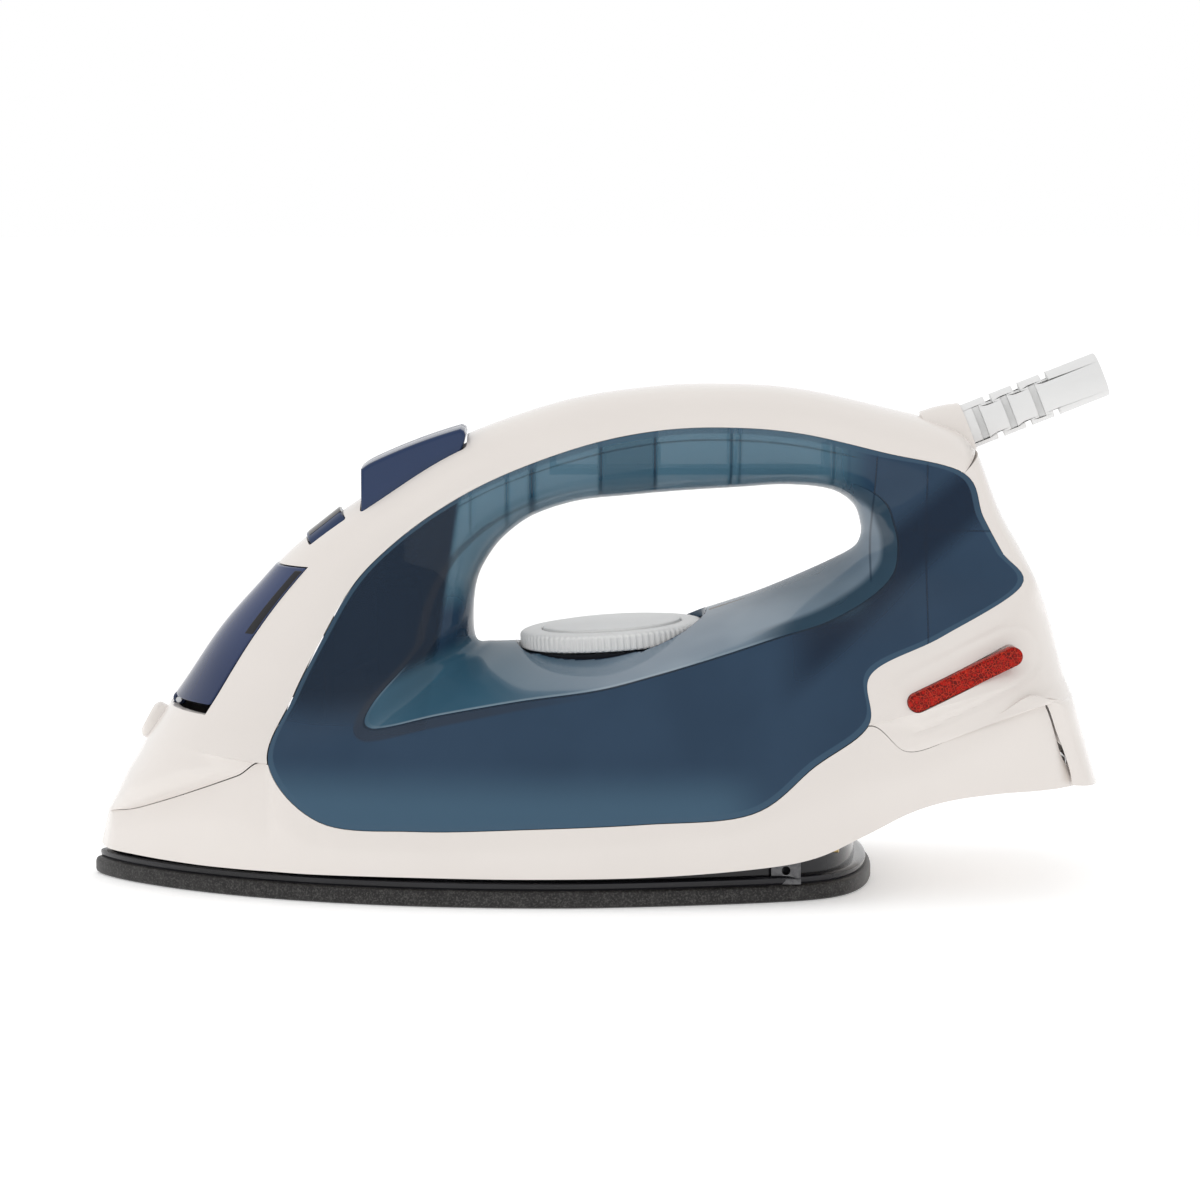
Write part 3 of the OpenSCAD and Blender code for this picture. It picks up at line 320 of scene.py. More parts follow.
def inset_loop(p, d):
    """Closed plane outline moved inwards by d along the mean normal of its two edges."""
    before, after = p - np.roll(p, 1, 0), np.roll(p, -1, 0) - p
    n = sum(np.stack([-e[:, 1], e[:, 0]], -1) / np.maximum(np.linalg.norm(e, axis=1), 1e-9)[:, None]
            for e in (before, after))
    n = n / np.maximum((n * n).sum(1, keepdims=True), 0.4) * 2
    area = 0.5 * np.sum(p[:, 0] * np.roll(p[:, 1], -1) - np.roll(p[:, 0], -1) * p[:, 1])
    return p + n * d * (1 if area > 0 else -1)


def slab(name, outline, levels, frame_at):
    """Stack of outlines: levels are (height, inset) pairs, and flat lids close both ends."""
    p = np.asarray(outline, float)
    rings = [np.column_stack([inset_loop(p, d), np.full(len(p), h)]) for h, d in levels]
    g = frame_at(np.stack(rings))
    n, m = g.shape[:2]
    lid = np.arange(m)
    return solid(name, g, [quads(n, m, False, True), lid[::-1], (n - 1) * m + lid])


def rounded_levels(low, high, r, steps=3):
    """Heights and insets of a slab whose two end edges are quarter circles of radius r."""
    a = np.linspace(0, PI / 2, steps + 1)
    first = [(low + r - r * math.cos(t), r - r * math.sin(t)) for t in a]
    last = [(high - r + r * math.sin(t), r - r * math.cos(t)) for t in a]
    return first + last


def box_outline(x0, x1, y0, y1, r, steps=4):
    """Rectangle with corners of radius r."""
    t = np.linspace(0, PI / 2, steps + 1)
    corners = [(x1 - r, y1 - r, 0), (x0 + r, y1 - r, 1), (x0 + r, y0 + r, 2), (x1 - r, y0 + r, 3)]
    return np.array([(cx + r * math.cos(a + q * PI / 2), cy + r * math.sin(a + q * PI / 2))
                     for cx, cy, q in corners for a in t])


def circle_outline(r, steps=48, x=0.0, y=0.0):
    a = np.linspace(0, 2 * PI, steps, endpoint=False)
    return np.column_stack([x + r * np.cos(a), y + r * np.sin(a)])


def stadium(r, length, steps=40):
    """Bar with round ends, along x."""
    base, half = circle_outline(r, steps), np.array([length / 2, 0])
    q = steps // 4
    return np.concatenate([base[3 * q:] + half, base[:q + 1] + half, base[q:3 * q + 1] - half])


def plan_part(x, x0, x1):
    """Half width of the plan over its widest: a power curve to the nose and a slow taper with a
    rounded end to the heel."""
    front = np.clip(1 - np.clip((WIDEST_X - x) / (WIDEST_X - x0), 0, 1) ** 2.2, 0, 1) ** 0.75
    s = np.clip((x - WIDEST_X) / (x1 - WIDEST_X), 0, 1)
    back = (1 - 0.28 * s ** 1.5) * np.sqrt(np.clip(1 - s ** 12, 0, 1))
    return np.where(x < WIDEST_X, front, back)


def plan_outline(x0, x1, half_w, steps=110):
    """Closed plan outline, with places gathered at the nose and the heel as a cosine does."""
    x = (x0 + x1) / 2 - (x1 - x0) / 2 * np.cos(PI * np.arange(1, steps) / steps)
    w = half_w * plan_part(x, x0, x1)
    return np.concatenate([[[x0, 0]], np.column_stack([x, -w]), [[x1, 0]],
                           np.column_stack([x, w])[::-1]])


def cut(obj, *cutters):
    """Takes the cutters' solids out of a piece, exactly, and throws the cutters away."""
    for c in cutters:
        modifier = obj.modifiers.new("cut", "BOOLEAN")
        modifier.operation, modifier.solver, modifier.object = "DIFFERENCE", "EXACT", c
    bpy.context.view_layer.update()
    made = bpy.data.meshes.new_from_object(obj.evaluated_get(bpy.context.evaluated_depsgraph_get()))
    obj.modifiers.clear()
    obj.data = made
    for c in cutters:
        bpy.data.objects.remove(c)
    return obj


def soften(obj, width=0.35, angle=34, segments=2):
    """Rounds the sharp edges of a piece with a small bevel."""
    b = obj.modifiers.new("edge", "BEVEL")
    b.width, b.segments, b.limit_method = width * MM, segments, "ANGLE"
    b.angle_limit, b.harden_normals = math.radians(angle), False
    return obj


def smooth(obj, angle=34):
    """Smooth shading that keeps edges sharper than an angle."""
    mesh = obj.data
    mesh.shade_smooth()
    mesh.set_sharp_from_angle(angle=math.radians(angle))
    return obj


def field(obj, name, values):
    """Number at each point, for the finish to read."""
    layer = obj.data.attributes.new(name, "FLOAT", "POINT")
    layer.data.foreach_set("value", np.asarray(values, np.float32))


# ------------------------------------------------------------------ finishes

class Wire:
    """A number or vector socket of a finish. Its operators add Math nodes."""

    def __init__(self, finish, socket):
        self.finish, self.socket = finish, socket

    def math(self, operation, *others):
        return self.finish.node("ShaderNodeMath", {"operation": operation},
                                dict(enumerate((self, *others))))

    def __add__(self, other): return self.math("ADD", other)
    def __mul__(self, other): return self.math("MULTIPLY", other)
    def __sub__(self, other): return self.math("SUBTRACT", other)
    def __rsub__(self, other): return self.finish.number(other).math("SUBTRACT", self)
    def __truediv__(self, other): return self.math("DIVIDE", other)
    __radd__, __rmul__ = __add__, __mul__

    def step(self, low, high):
        """0 below low, 1 above high and an ease between."""
        return self.finish.node("ShaderNodeMapRange", {"interpolation_type": "SMOOTHSTEP"},
                                {"Value": self, "From Min": low, "From Max": high})

    def bump_at(self, centre, width):
        """1 at a centre, easing to 0 at a width on each side."""
        return 1 - (self - centre).math("ABSOLUTE").step(0, width)


class Finish:
    """Material with a Principled shader; node() adds any node and returns its first output."""

    def __init__(self, name, **sockets):
        self.material = bpy.data.materials.new(name)
        self.material.use_nodes = True
        self.tree = self.material.node_tree
        self.shader = self.tree.nodes["Principled BSDF"]
        self.set(**sockets)

    def node(self, kind, settings=None, values=None, output=0):
        made = self.tree.nodes.new(kind)
        for key, value in (settings or {}).items():
            if key == "stops":
                ramp = made.color_ramp
                while len(ramp.elements) < len(value):
                    ramp.elements.new(0.5)
                for element, (place, colour) in zip(ramp.elements, value):
                    element.position, element.color = place, (*colour, 1)
            else:
                setattr(made, key, value)
        for key, value in (values or {}).items():
            self.plug(made.inputs[key], value)
        return Wire(self, made.outputs[output])

    def plug(self, socket, value):
        if isinstance(value, Wire):
            self.tree.links.new(value.socket, socket)
        elif isinstance(value, (tuple, list)) and len(value) == 3 and socket.type == "RGBA":
            socket.default_value = (*value, 1)
        else:
            socket.default_value = value

    def number(self, value):
        made = self.node("ShaderNodeValue")
        made.socket.default_value = value
        return made

    def set(self, **sockets):
        """Sets shader sockets by name, with _ for a space."""
        for key, value in sockets.items():
            label = key.replace("_", " ").title().replace("Ior", "IOR")
            self.plug(self.shader.inputs[label], value)
        return self

    def place(self):
        """Object coordinates x, y, z in millimetres."""
        split = self.node("ShaderNodeSeparateXYZ", None, {0: self.coords()})
        outs = split.socket.node.outputs
        return [Wire(self, outs[k]) * 1000 for k in range(3)]

    def coords(self):
        return self.node("ShaderNodeTexCoord", None, None, "Object")

    def noise(self, size_mm, detail=2.0, roughness=0.5, stretch=None):
        """Noise whose lumps are about size_mm, from 0 to 1."""
        at = self.coords()
        if stretch:
            at = self.node("ShaderNodeVectorMath", {"operation": "MULTIPLY"}, {0: at, 1: stretch})
        return self.node("ShaderNodeTexNoise", None, {
            "Vector": at, "Scale": 1000 / size_mm, "Detail": detail, "Roughness": roughness})

    def cells(self, size_mm, feature="F1", output="Distance"):
        return self.node("ShaderNodeTexVoronoi", {"feature": feature},
                         {"Vector": self.coords(), "Scale": 1000 / size_mm}, output)

    def blend(self, factor, first, second):
        """Colour between first and second."""
        made = self.tree.nodes.new("ShaderNodeMix")
        made.data_type = "RGBA"
        for place, value in ((0, factor), (6, first), (7, second)):
            self.plug(made.inputs[place], value)
        return Wire(self, made.outputs[2])

    def bump(self, height, depth_mm, strength=1.0):
        """Normal from a height field of 0 to 1 that is depth_mm deep."""
        return self.set(normal=self.node("ShaderNodeBump", None, {
            "Height": height, "Strength": strength, "Distance": depth_mm * MM}))

    def attribute(self, name):
        return self.node("ShaderNodeAttribute", {"attribute_name": name}, None, "Fac")


def moulded(name, colour, shade, rough, grain_mm, grain_depth, coat=0.0, **more):
    """Moulded plastic: a slow colour drift, a faint skin texture and uneven gloss."""
    f = Finish(name, coat_weight=coat, coat_roughness=0.06, **more)
    drift = f.noise(38, 2)
    f.set(base_color=f.blend(drift.step(0.3, 0.7), colour, shade),
          roughness=rough * 0.85 + rough * 0.3 * f.noise(9, 3))
    f.bump(f.noise(grain_mm, 2), grain_depth, 0.5)
    return f


def metal(name, colour, shade, rough, size, stretch=None):
    """Metal with fine scratches or a cast skin."""
    f = Finish(name, metallic=1.0)
    marks = f.noise(size, 4, 0.6, stretch)
    f.set(base_color=f.blend(marks.step(0.3, 0.7), colour, shade),
          roughness=rough * 0.8 + rough * 0.4 * marks)
    f.bump(marks, 0.02, 0.4)
    return f


white_gloss = moulded("white_gloss", (0.80, 0.75, 0.71), (0.785, 0.735, 0.695), 0.20, 1.6, 0.002,
                      0.35)
navy_gloss = moulded("navy_gloss", (0.022, 0.045, 0.115), (0.017, 0.036, 0.095), 0.16, 1.4, 0.004,
                     0.15, specular_ior_level=0.25)
black_gloss = moulded("black_gloss", (0.010, 0.010, 0.012), (0.016, 0.016, 0.020), 0.14, 1.2, 0.004,
                      0.15, specular_ior_level=0.3)
black_matt = moulded("black_matt", (0.02, 0.02, 0.022), (0.035, 0.034, 0.034), 0.5, 0.5, 0.02)
dial_satin = moulded("dial_satin", (0.80, 0.80, 0.79), (0.74, 0.74, 0.735), 0.38, 0.35, 0.01)
rubber_matt = moulded("rubber_matt", (0.022, 0.022, 0.024), (0.035, 0.035, 0.036), 0.7, 0.4, 0.03)
sleeve_soft = moulded("sleeve_soft", (0.80, 0.80, 0.795), (0.77, 0.77, 0.765), 0.42, 0.5, 0.01)
ceramic = moulded("ceramic", (0.72, 0.69, 0.60), (0.62, 0.59, 0.50), 0.6, 0.6, 0.03)
milky = moulded("milky", (0.48, 0.58, 0.64), (0.42, 0.52, 0.60), 0.35, 0.8, 0.01)
steel = metal("steel", (0.60, 0.61, 0.62), (0.48, 0.49, 0.51), 0.3, 0.8, (1, 1, 0.15))
dark_steel = metal("dark_steel", (0.16, 0.16, 0.165), (0.11, 0.11, 0.115), 0.4, 1.0)
aluminium = metal("aluminium", (0.52, 0.52, 0.53), (0.40, 0.40, 0.41), 0.5, 1.5)
brass = metal("brass", (0.62, 0.45, 0.20), (0.50, 0.36, 0.15), 0.32, 1.2)
lamp = Finish("lamp", base_color=(0.75, 0.40, 0.12), roughness=0.12, alpha=0.7)
lamp.bump(lamp.noise(1.5), 0.01)


def make_tank_blue():
    """Translucent tank plastic: deep slate on the flank, a lighter band near the tank floor painted
    as light shining through, a paler rim along the seams, a deck above the crease painted light as
    a reflection, a painted highlight along the crease, painted shade in and under the crease and
    along the hand opening, and a clearer, ribbed teal handle."""
    f = Finish("tank_blue", coat_weight=0.12, coat_roughness=0.03, specular_ior_level=0.22)
    x, y, z = f.place()
    rim, crease, fold, part = (f.attribute(name) for name in ("rim", "crease", "fold", "part"))
    slow, folded = f.noise(30, 2), fold.step(0.2, 0.6)
    inside = (x - 0.15 * (z - 95)).step(-41.5, -39.5)
    handle = inside * z.step(74, 84) * (1 - x.step(60, 76))
    pillar = (1 - inside) * z.step(44, 56) * (1 - x.step(-40, -30))
    # painted light: a lighter band near the tank floor, standing in for light shining through the
    # tank from the far side
    band = (1 - z.step(26, 40)) * (1 - x.step(30, 52))
    # painted reflection: on_deck is the deck above the crease, and deck is where it is painted
    # light as a reflection of the bright room behind
    on_deck = (1 - crease.step(-0.6, -0.1)) * folded
    deck = on_deck * x.step(-72, -60)
    # painted highlight: a light line on the deck just above the crease
    crease_highlight = (1 - crease.step(-0.6, -0.3)) * crease.step(-2.2, -1.2) * folded * x.step(-66, -50)
    edge = 1 - rim.step(1.4, 1.8)
    # painted shade: a darker strip on the flank just under the crease, towards the nose
    under = crease.step(0, 0.6) * (1 - (crease + x * 0.035).step(1.2, 2.2)) * (1 - x.step(-40, 10))
    shadow = ((x - 53) * -0.658 + (z - 66) * 0.753).math("ABSOLUTE").step(3, 10)
    shadow = (1 - shadow) * x.step(45, 62)
    ribs = x.bump_at(-35.8, 0.7) * 0.5
    for place, width, depth in (
            (-25.8, 1, 0.6), (-18.8, 1.8, 0.9), (0, 1, 0.8), (15.4, 1, 0.8), (36.2, 0.8, 0.9),
            (38.6, 0.8, 0.6), (64.4, 0.8, 0.8), (68.6, 0.9, 0.8)):
        ribs = ribs + x.bump_at(place, width) * depth
    ribs = ribs + x.step(0, 0.5) * (1 - x.step(15, 15.5)) * 0.45
    ribs = ribs.math("MINIMUM", 1) * z.step(96, 100)
    colour = f.blend(slow.step(0.3, 0.7), (0.021, 0.049, 0.092), (0.026, 0.058, 0.106))
    # painted reflection colour for the deck, grey towards the heel
    pale = f.blend(slow.step(0.35, 0.65), (0.24, 0.31, 0.375), (0.18, 0.245, 0.31))
    stroke = 1 - ((y + 4).math("ABSOLUTE") + (x - 30) * 0.08).step(1.15, 1.3)
    stroke = stroke * x.step(30.2, 30.6) * (1 - x.step(40.2, 40.6)) * (1 - z.step(88, 90))
    seams = [(x - z * tilt).bump_at(place - 95 * tilt, 0.5) * z.step(low, low + 2)
             * (1 - z.step(high, high + 2)) * 0.6
             for place, tilt, low, high in ((75, 0.05, 84, 118), (89.6, 0.02, 62, 116))]
    for mask, tone in (
            (pillar * 0.85, (0.004, 0.014, 0.032)),
            (shadow * 0.8, (0.001, 0.010, 0.030)),
            (handle * 0.92, (0.105, 0.235, 0.325)),
            (handle * ribs * 0.9, (0.006, 0.022, 0.045)),
            # painted shade: darker along the hand opening, on the handle's underside
            (handle * (1 - part.step(0.06, 0.34)) * 0.75, (0.012, 0.035, 0.062)),
            # painted light shining through, near the tank floor
            (band * 0.9, (0.058, 0.120, 0.185)),
            # deck painted light as a reflection, teal at the nose end and grey towards the heel
            (deck * 0.92, f.blend(x.step(-38, 14), (0.042, 0.115, 0.175), pale)),
            # darker part of the deck's painted reflection, near the crease from x 36 to 54
            (on_deck * x.step(36, 54) * crease.step(-10, -6) * 0.85, (0.010, 0.040, 0.072)),
            # painted highlight along the crease
            (crease_highlight * (1 - x.step(40, 50)) * 0.65, (0.30, 0.38, 0.44)),
            # painted shade under the crease
            (under * 0.6, (0.028, 0.034, 0.048)),
            # painted shade: a dark line in the crease itself
            ((1 - crease.math("ABSOLUTE").step(0.15, 0.6)) * folded * 0.8, (0.008, 0.018, 0.034)),
            (rim.bump_at(3.4, 0.5) * handle * 0.7, (0.010, 0.03, 0.05)),
            (edge * 0.65, (0.050, 0.10, 0.155)),
            (seams[0], (0.008, 0.016, 0.034)),
            (seams[1], (0.008, 0.016, 0.034)),
            (z.bump_at(99, 0.5) * x.step(84, 87) * 0.6, (0.010, 0.020, 0.040)),
            (stroke, (0.004, 0.004, 0.005))):
        colour = f.blend(mask, colour, tone)
    cover = 0.9 - handle * 0.32 * (1 - ribs) - pillar * 0.06 + edge * 0.1 + deck * 0.08
    f.set(base_color=colour, roughness=0.05 + 0.05 * f.noise(6, 3),
          alpha=cover.math("MINIMUM", 0.98))
    f.bump(f.noise(12, 1), 0.004, 0.4)
    return f


def make_door_slate():
    f = Finish("door_slate", coat_weight=0.2, coat_roughness=0.03, specular_ior_level=0.3)
    _, _, z = f.place()
    f.set(base_color=f.blend((z + f.noise(20) * 10).step(55, 90), (0.020, 0.035, 0.095),
                             (0.040, 0.060, 0.140)),
          roughness=0.06 + 0.05 * f.noise(5, 2), alpha=0.98 - 0.03 * f.noise(12))
    return f.bump(f.noise(9, 1), 0.002, 0.3)


def make_sole_coat():
    """Dark coating with pale flecks, over a metal plate."""
    f = Finish("sole_coat", coat_weight=0.1, coat_roughness=0.3, metallic=0.35,
               specular_ior_level=0.3)
    flecks = f.noise(0.55, 3, 0.7)
    coarse = f.noise(2.2, 2)
    tone = flecks.step(0.46, 0.66) * 0.8 + coarse.step(0.4, 0.7) * 0.2
    f.set(base_color=f.blend(tone, (0.020, 0.019, 0.019), (0.085, 0.082, 0.079)),
          roughness=0.36 + 0.2 * flecks)
    return f.bump(flecks, 0.012, 0.4)


def make_red_lens():
    """Clear red with small prism cells behind the surface."""
    f = Finish("red_lens", coat_weight=0.1, coat_roughness=0.08, specular_ior_level=0.12)
    near = f.cells(1.15)
    edge = f.cells(1.15, "DISTANCE_TO_EDGE")
    colour = f.blend(near.step(0.1, 0.6), (0.46, 0.008, 0.003), (0.12, 0.002, 0.001))
    f.set(base_color=f.blend(edge.step(0.02, 0.1), (0.50, 0.03, 0.012), colour),
          roughness=0.22 + 0.1 * near)
    return f.bump(near, 0.05, 0.5)


def make_leads():
    """Three insulated wires, told apart by their place across the iron."""
    f = Finish("lead_skins", roughness=0.5)
    _, y, z = f.place()
    lane = y / (4 + (95.3 - z) * 0.21)
    colour = f.blend(lane.step(-0.4, -0.2), (0.12, 0.05, 0.02), (0.02, 0.08, 0.35))
    f.set(base_color=f.blend(lane.step(0.2, 0.4), colour, (0.10, 0.28, 0.06)))
    return f.bump(f.noise(1.0), 0.02, 0.3)


tank_blue, door_slate, sole_coat, red_lens, leads = (
    make_tank_blue(), make_door_slate(), make_sole_coat(), make_red_lens(), make_leads())
inner_blue = moulded("inner_blue", (0.02, 0.055, 0.09), (0.012, 0.035, 0.06), 0.35, 0.8, 0.01)
clear_blue = moulded("clear_blue", (0.05, 0.11, 0.17), (0.04, 0.09, 0.14), 0.2, 1.2, 0.01,
                     alpha=0.6)


def piece(obj, finish, body, slot, *nodes):
    """Gives a piece its finish and its body, and hides the CAD nodes that it stands for. The slot
    is not used.
    """
    obj.data.materials.clear()
    obj.data.materials.append(finish.material)
    smooth(obj)
    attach(obj, body)
    if nodes:
        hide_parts(*nodes)
    return obj


# ------------------------------------------------------------------ camera and stage

def make_stage():
    f = Finish("floor_paint", base_color=(0.93, 0.93, 0.93), roughness=0.7,
               emission_color=(1, 1, 1), emission_strength=0.28)
    f.bump(f.noise(4, 3), 0.02, 0.2)
    side = 6000
    g = np.array([[-side, -side, 0], [side, -side, 0], [side, side, 0], [-side, side, 0]], float)
    mesh = bpy.data.meshes.new("floor")
    mesh.from_pydata((g * MM).tolist(), [], [(0, 1, 2, 3)])
    floor = bpy.data.objects.new("floor", mesh)
    floor.data.materials.append(f.material)
    bpy.context.scene.collection.objects.link(floor)


def make_light(name, at, aim, size, power):
    """Soft round light at a place in metres, facing an aim."""
    data = bpy.data.lights.new(name, "AREA")
    data.shape, data.size, data.energy = "DISK", size, power
    lamp_obj = bpy.data.objects.new(name, data)
    direction = np.array(aim, float) - np.array(at, float)
    lamp_obj.rotation_euler = Vector(direction).to_track_quat("-Z", "Y").to_euler()
    lamp_obj.location = at
    lamp_obj.visible_glossy = False
    bpy.context.scene.collection.objects.link(lamp_obj)


def make_camera():
    """Camera 1.26 m away, 6.3 degrees above the level, aimed at the middle of the iron."""
    pitch, reach, aim = math.radians(6.3), 1.26, (0, 0, 0.0772)
    data = bpy.data.cameras.new("camera")
    data.lens, data.sensor_width, data.clip_end = 135, 36, 50
    cam = bpy.data.objects.new("camera", data)
    cam.location = (0, -reach * math.cos(pitch), aim[2] + reach * math.sin(pitch))
    cam.rotation_euler = (PI / 2 - pitch, 0, 0)
    bpy.context.scene.collection.objects.link(cam)
    bpy.context.scene.camera = cam


def make_sky(tree):
    """White room that is a little dimmer in front of the iron than behind it."""
    at = tree.nodes.new("ShaderNodeTexCoord")
    split = tree.nodes.new("ShaderNodeSeparateXYZ")
    fade = tree.nodes.new("ShaderNodeMapRange")
    tree.links.new(at.outputs["Generated"], split.inputs[0])
    tree.links.new(split.outputs["Y"], fade.inputs["Value"])
    for name, value in (("From Min", -0.6), ("From Max", 0.35), ("To Min", 0.72), ("To Max", 1.0)):
        fade.inputs[name].default_value = value
    tree.links.new(fade.outputs["Result"], tree.nodes["Background"].inputs["Strength"])
    tree.nodes["Background"].inputs["Color"].default_value = (1, 1, 1, 1)


make_camera()
make_stage()
world = bpy.data.worlds.new("studio")
bpy.context.scene.world = world
world.use_nodes = True
make_sky(world.node_tree)
make_light("over", (0.1, -0.2, 1.5), (0, 0, 0), 1.6, 1.6)
make_light("key", (-0.9, -1.3, 1.1), (0, 0, 0.05), 0.9, 3.2)
bpy.context.scene.view_settings.view_transform = "Standard"


# ------------------------------------------------------------------ sole

def plates():
    """Ironing plate with vents, and the black ledge of the heat shield above it."""
    outline = plan_outline(SOLE_X0, SOLE_X1, SOLE_W)
    t = PLATE_T
    levels = [(0, 1.6), (0.12, 0.9), (0.5, 0.3), (1.2, 0.02), (3.4, 0.02), (4.2, 0.25), (4.65, 0.7),
              (t, 1.3)]
    plate = slab("sole_plate", outline, levels, upright)
    vents = [(-126 + 7 * i, 0) for i in range(5)]
    for x in -112 + 150 * np.arange(12) / 11:
        w = float(SOLE_W * plan_part(np.array(x), SOLE_X0, SOLE_X1)) - 13
        vents += [(x, -w), (x, w)]
    drills = [slab("drill", circle_outline(1.3, 20, x, y), [(-1, 0), (t + 1, 0)], upright)
              for x, y in vents]
    join(drills)
    cut(plate, drills[0])
    piece(plate, sole_coat, "iron_body", "soleplate_metal", "soleplate")
    levels = [(t, 1.75), (5.9, 1.45), (6.5, 1.5), (6.9, 2.0), (7.05, 3.2), (7.1, 4.6), (16, 5.2)]
    ledge = slab("shield_ledge", outline, levels, upright)
    hole = slab("hole", plan_outline(-131.5, 60, 53.6), [(t - 1, 0), (15, 0)], upright)
    cut(ledge, hole)
    return ledge


def join(objects):
    """Puts the meshes of several objects into the first."""
    with bpy.context.temp_override(active_object=objects[0], selected_editable_objects=objects):
        bpy.ops.object.join()
    return objects[0]


ledge = plates()
piece(soften(ledge, 0.15), black_gloss, "iron_body", "black_plastic", "heat_shield")


# ------------------------------------------------------------------ shells

def dial_cutter():
    return turned_solid("cutter", [
        (0, -20, 0), (22, -20, 0), (22, -7.6, 0), (25, -0.4, 0), (26.9, -0.4, 0), (26.9, 26, 0),
        (0, 26, 0)], 96, on_dial)


def tank_half(side):
    """Tank shell of one side, two millimetres thick, with the dial's well cut out."""
    c = np.concatenate([np.linspace(0, 0.46, 24), [0.475, 0.488, 0.496, 0.5, 0.504, 0.512, 0.525],
                        np.linspace(0.54, 0.96, 24), [0.975, 0.985, 0.992, 0.9965, 0.9988]])
    s = np.arange(len(RING_ROWS) * 12) / 12
    outer = ring_surface(s, c)
    outer[..., 1] = np.minimum(outer[..., 1], HALF_LIMIT)
    outer[:, 0, 1] = MIDDLE
    inner = outer + TANK_WALL * grid_normals(outer, True)
    inner[:, 0, 1] = MIDDLE
    if side < 0:
        outer, inner = outer * [1, -1, 1], inner * [1, -1, 1]
    shell = closed_sheet("tank_shell_left" if side < 0 else "tank_shell_right", outer, inner, True)
    step = np.linalg.norm(np.diff(outer[:, ::-1], axis=1), axis=2)
    rim = np.concatenate([np.zeros((len(s), 1)), np.cumsum(step, 1)], 1)[:, ::-1]
    crease = rim[:, np.argmin(np.abs(c - 0.5))][:, None] - rim
    fold, part = rows_at(RING_ROWS, s, True)[:, RING_FOLD] + 0 * rim, c + 0 * rim
    for name, values in (("rim", rim), ("crease", crease), ("fold", fold), ("part", part)):
        field(shell, name, np.tile(values.ravel(), 2))
    cut(shell, dial_cutter())
    return piece(shell, tank_blue, "iron_body", "blue_clear_plastic",
                 "tank_left" if side < 0 else "tank_right")


tank_half(-1)
tank_half(1)


def cover_sheet(name, places, angles, n, m, depths):
    """Closed sheet that follows the upper cover, between two places along it, two angles across it
    in degrees and two depths under its face."""
    rows, a = cover_rows(np.linspace(*places, n)), np.radians(np.linspace(*angles, m))
    return closed_sheet(name, *(across(rows, a, depth) for depth in depths), False)


def upper_cover():
    """White cover over nose and handle, with its openings."""
    last, edge = len(COVER_ROWS) - 1, 0.15
    cover = cover_sheet("nose_and_handle_cover", (0, last), (edge, 180 - edge), last * 10 + 1, 73,
                        (0, WALL))
    reach = KNUCKLE_HALF + 0.4
    cut(cover,
        slab("cutter", box_outline(BUTTON_X0 - GAP, BUTTON_X1 + GAP, -BUTTON_W - GAP,
                                   BUTTON_W + GAP, 1.2), [(85, 0), (135, 0)], upright),
        slab("cutter", box_outline(-SLIDER_HALF - GAP, SLIDER_HALF + GAP, -SLOT_HALF, SLOT_HALF,
                                   0.8), [(-7, 0), (7, 0)], on_slider),
        cover_sheet("cutter", (DOOR_S0, DOOR_S1), (DOOR_A, 180 - DOOR_A), 20, 20, (-3, 5.5)),
        slab("cutter", circle_outline(SLEEVE_R + 1.05, 64), [(-22, 0), (22, 0)], on_sleeve),
        slab("cutter", circle_outline(NOZZLE_R + 0.2, 48), [(-15, 0), (15, 0)], on_nozzle),
        slab("cutter", circle_outline(KNUCKLE_R + 0.4, 32), [(-reach, 0), (reach, 0)], on_hinge))
    return piece(soften(cover, 0.3), white_gloss, "iron_body", "white_plastic", "upper_cover")


upper_cover()


def lower_skirt():
    """White skirt round the tank: straight from the bottom edge to the seam with a slight bulge."""
    last = len(SKIRT_ROWS) - 1
    rows = skirt_rows(np.arange(last * 10 + 1) / 10)
    t = np.linspace(0, 0.992, 20)[None, :]

    def side(r, sign):
        r = r[:, None, :]
        bulge = 0.8 * np.sin(PI * t) * np.minimum(1, r[..., 2] / 10)
        y = r[..., 2] + (r[..., 5] - r[..., 2]) * t + bulge
        return np.stack([r[..., 0] + (r[..., 3] - r[..., 0]) * t, sign * np.minimum(y, HALF_LIMIT),
                         r[..., 1] + (r[..., 4] - r[..., 1]) * t], -1)

    outer = np.concatenate([side(rows, -1), side(rows[-2:0:-1], 1)])
    inner = outer - WALL * grid_normals(outer, True)
    skirt = closed_sheet("lower_skirt_shell", outer, inner, True)
    return piece(soften(skirt, 0.3), white_gloss, "iron_body", "white_plastic", "lower_skirt")


lower_skirt()


def capsule_distance(g):
    """Distance in the side view from the axis of the lens capsule."""
    a = math.radians(LENS_RISE)
    dx, dz = g[..., 0] - LENS_AT[0], g[..., 2] - LENS_AT[2]
    along, off = dx * math.cos(a) + dz * math.sin(a), -dx * math.sin(a) + dz * math.cos(a)
    past = np.maximum(np.abs(along) - LENS_LEN / 2, 0)
    return np.hypot(past, off)


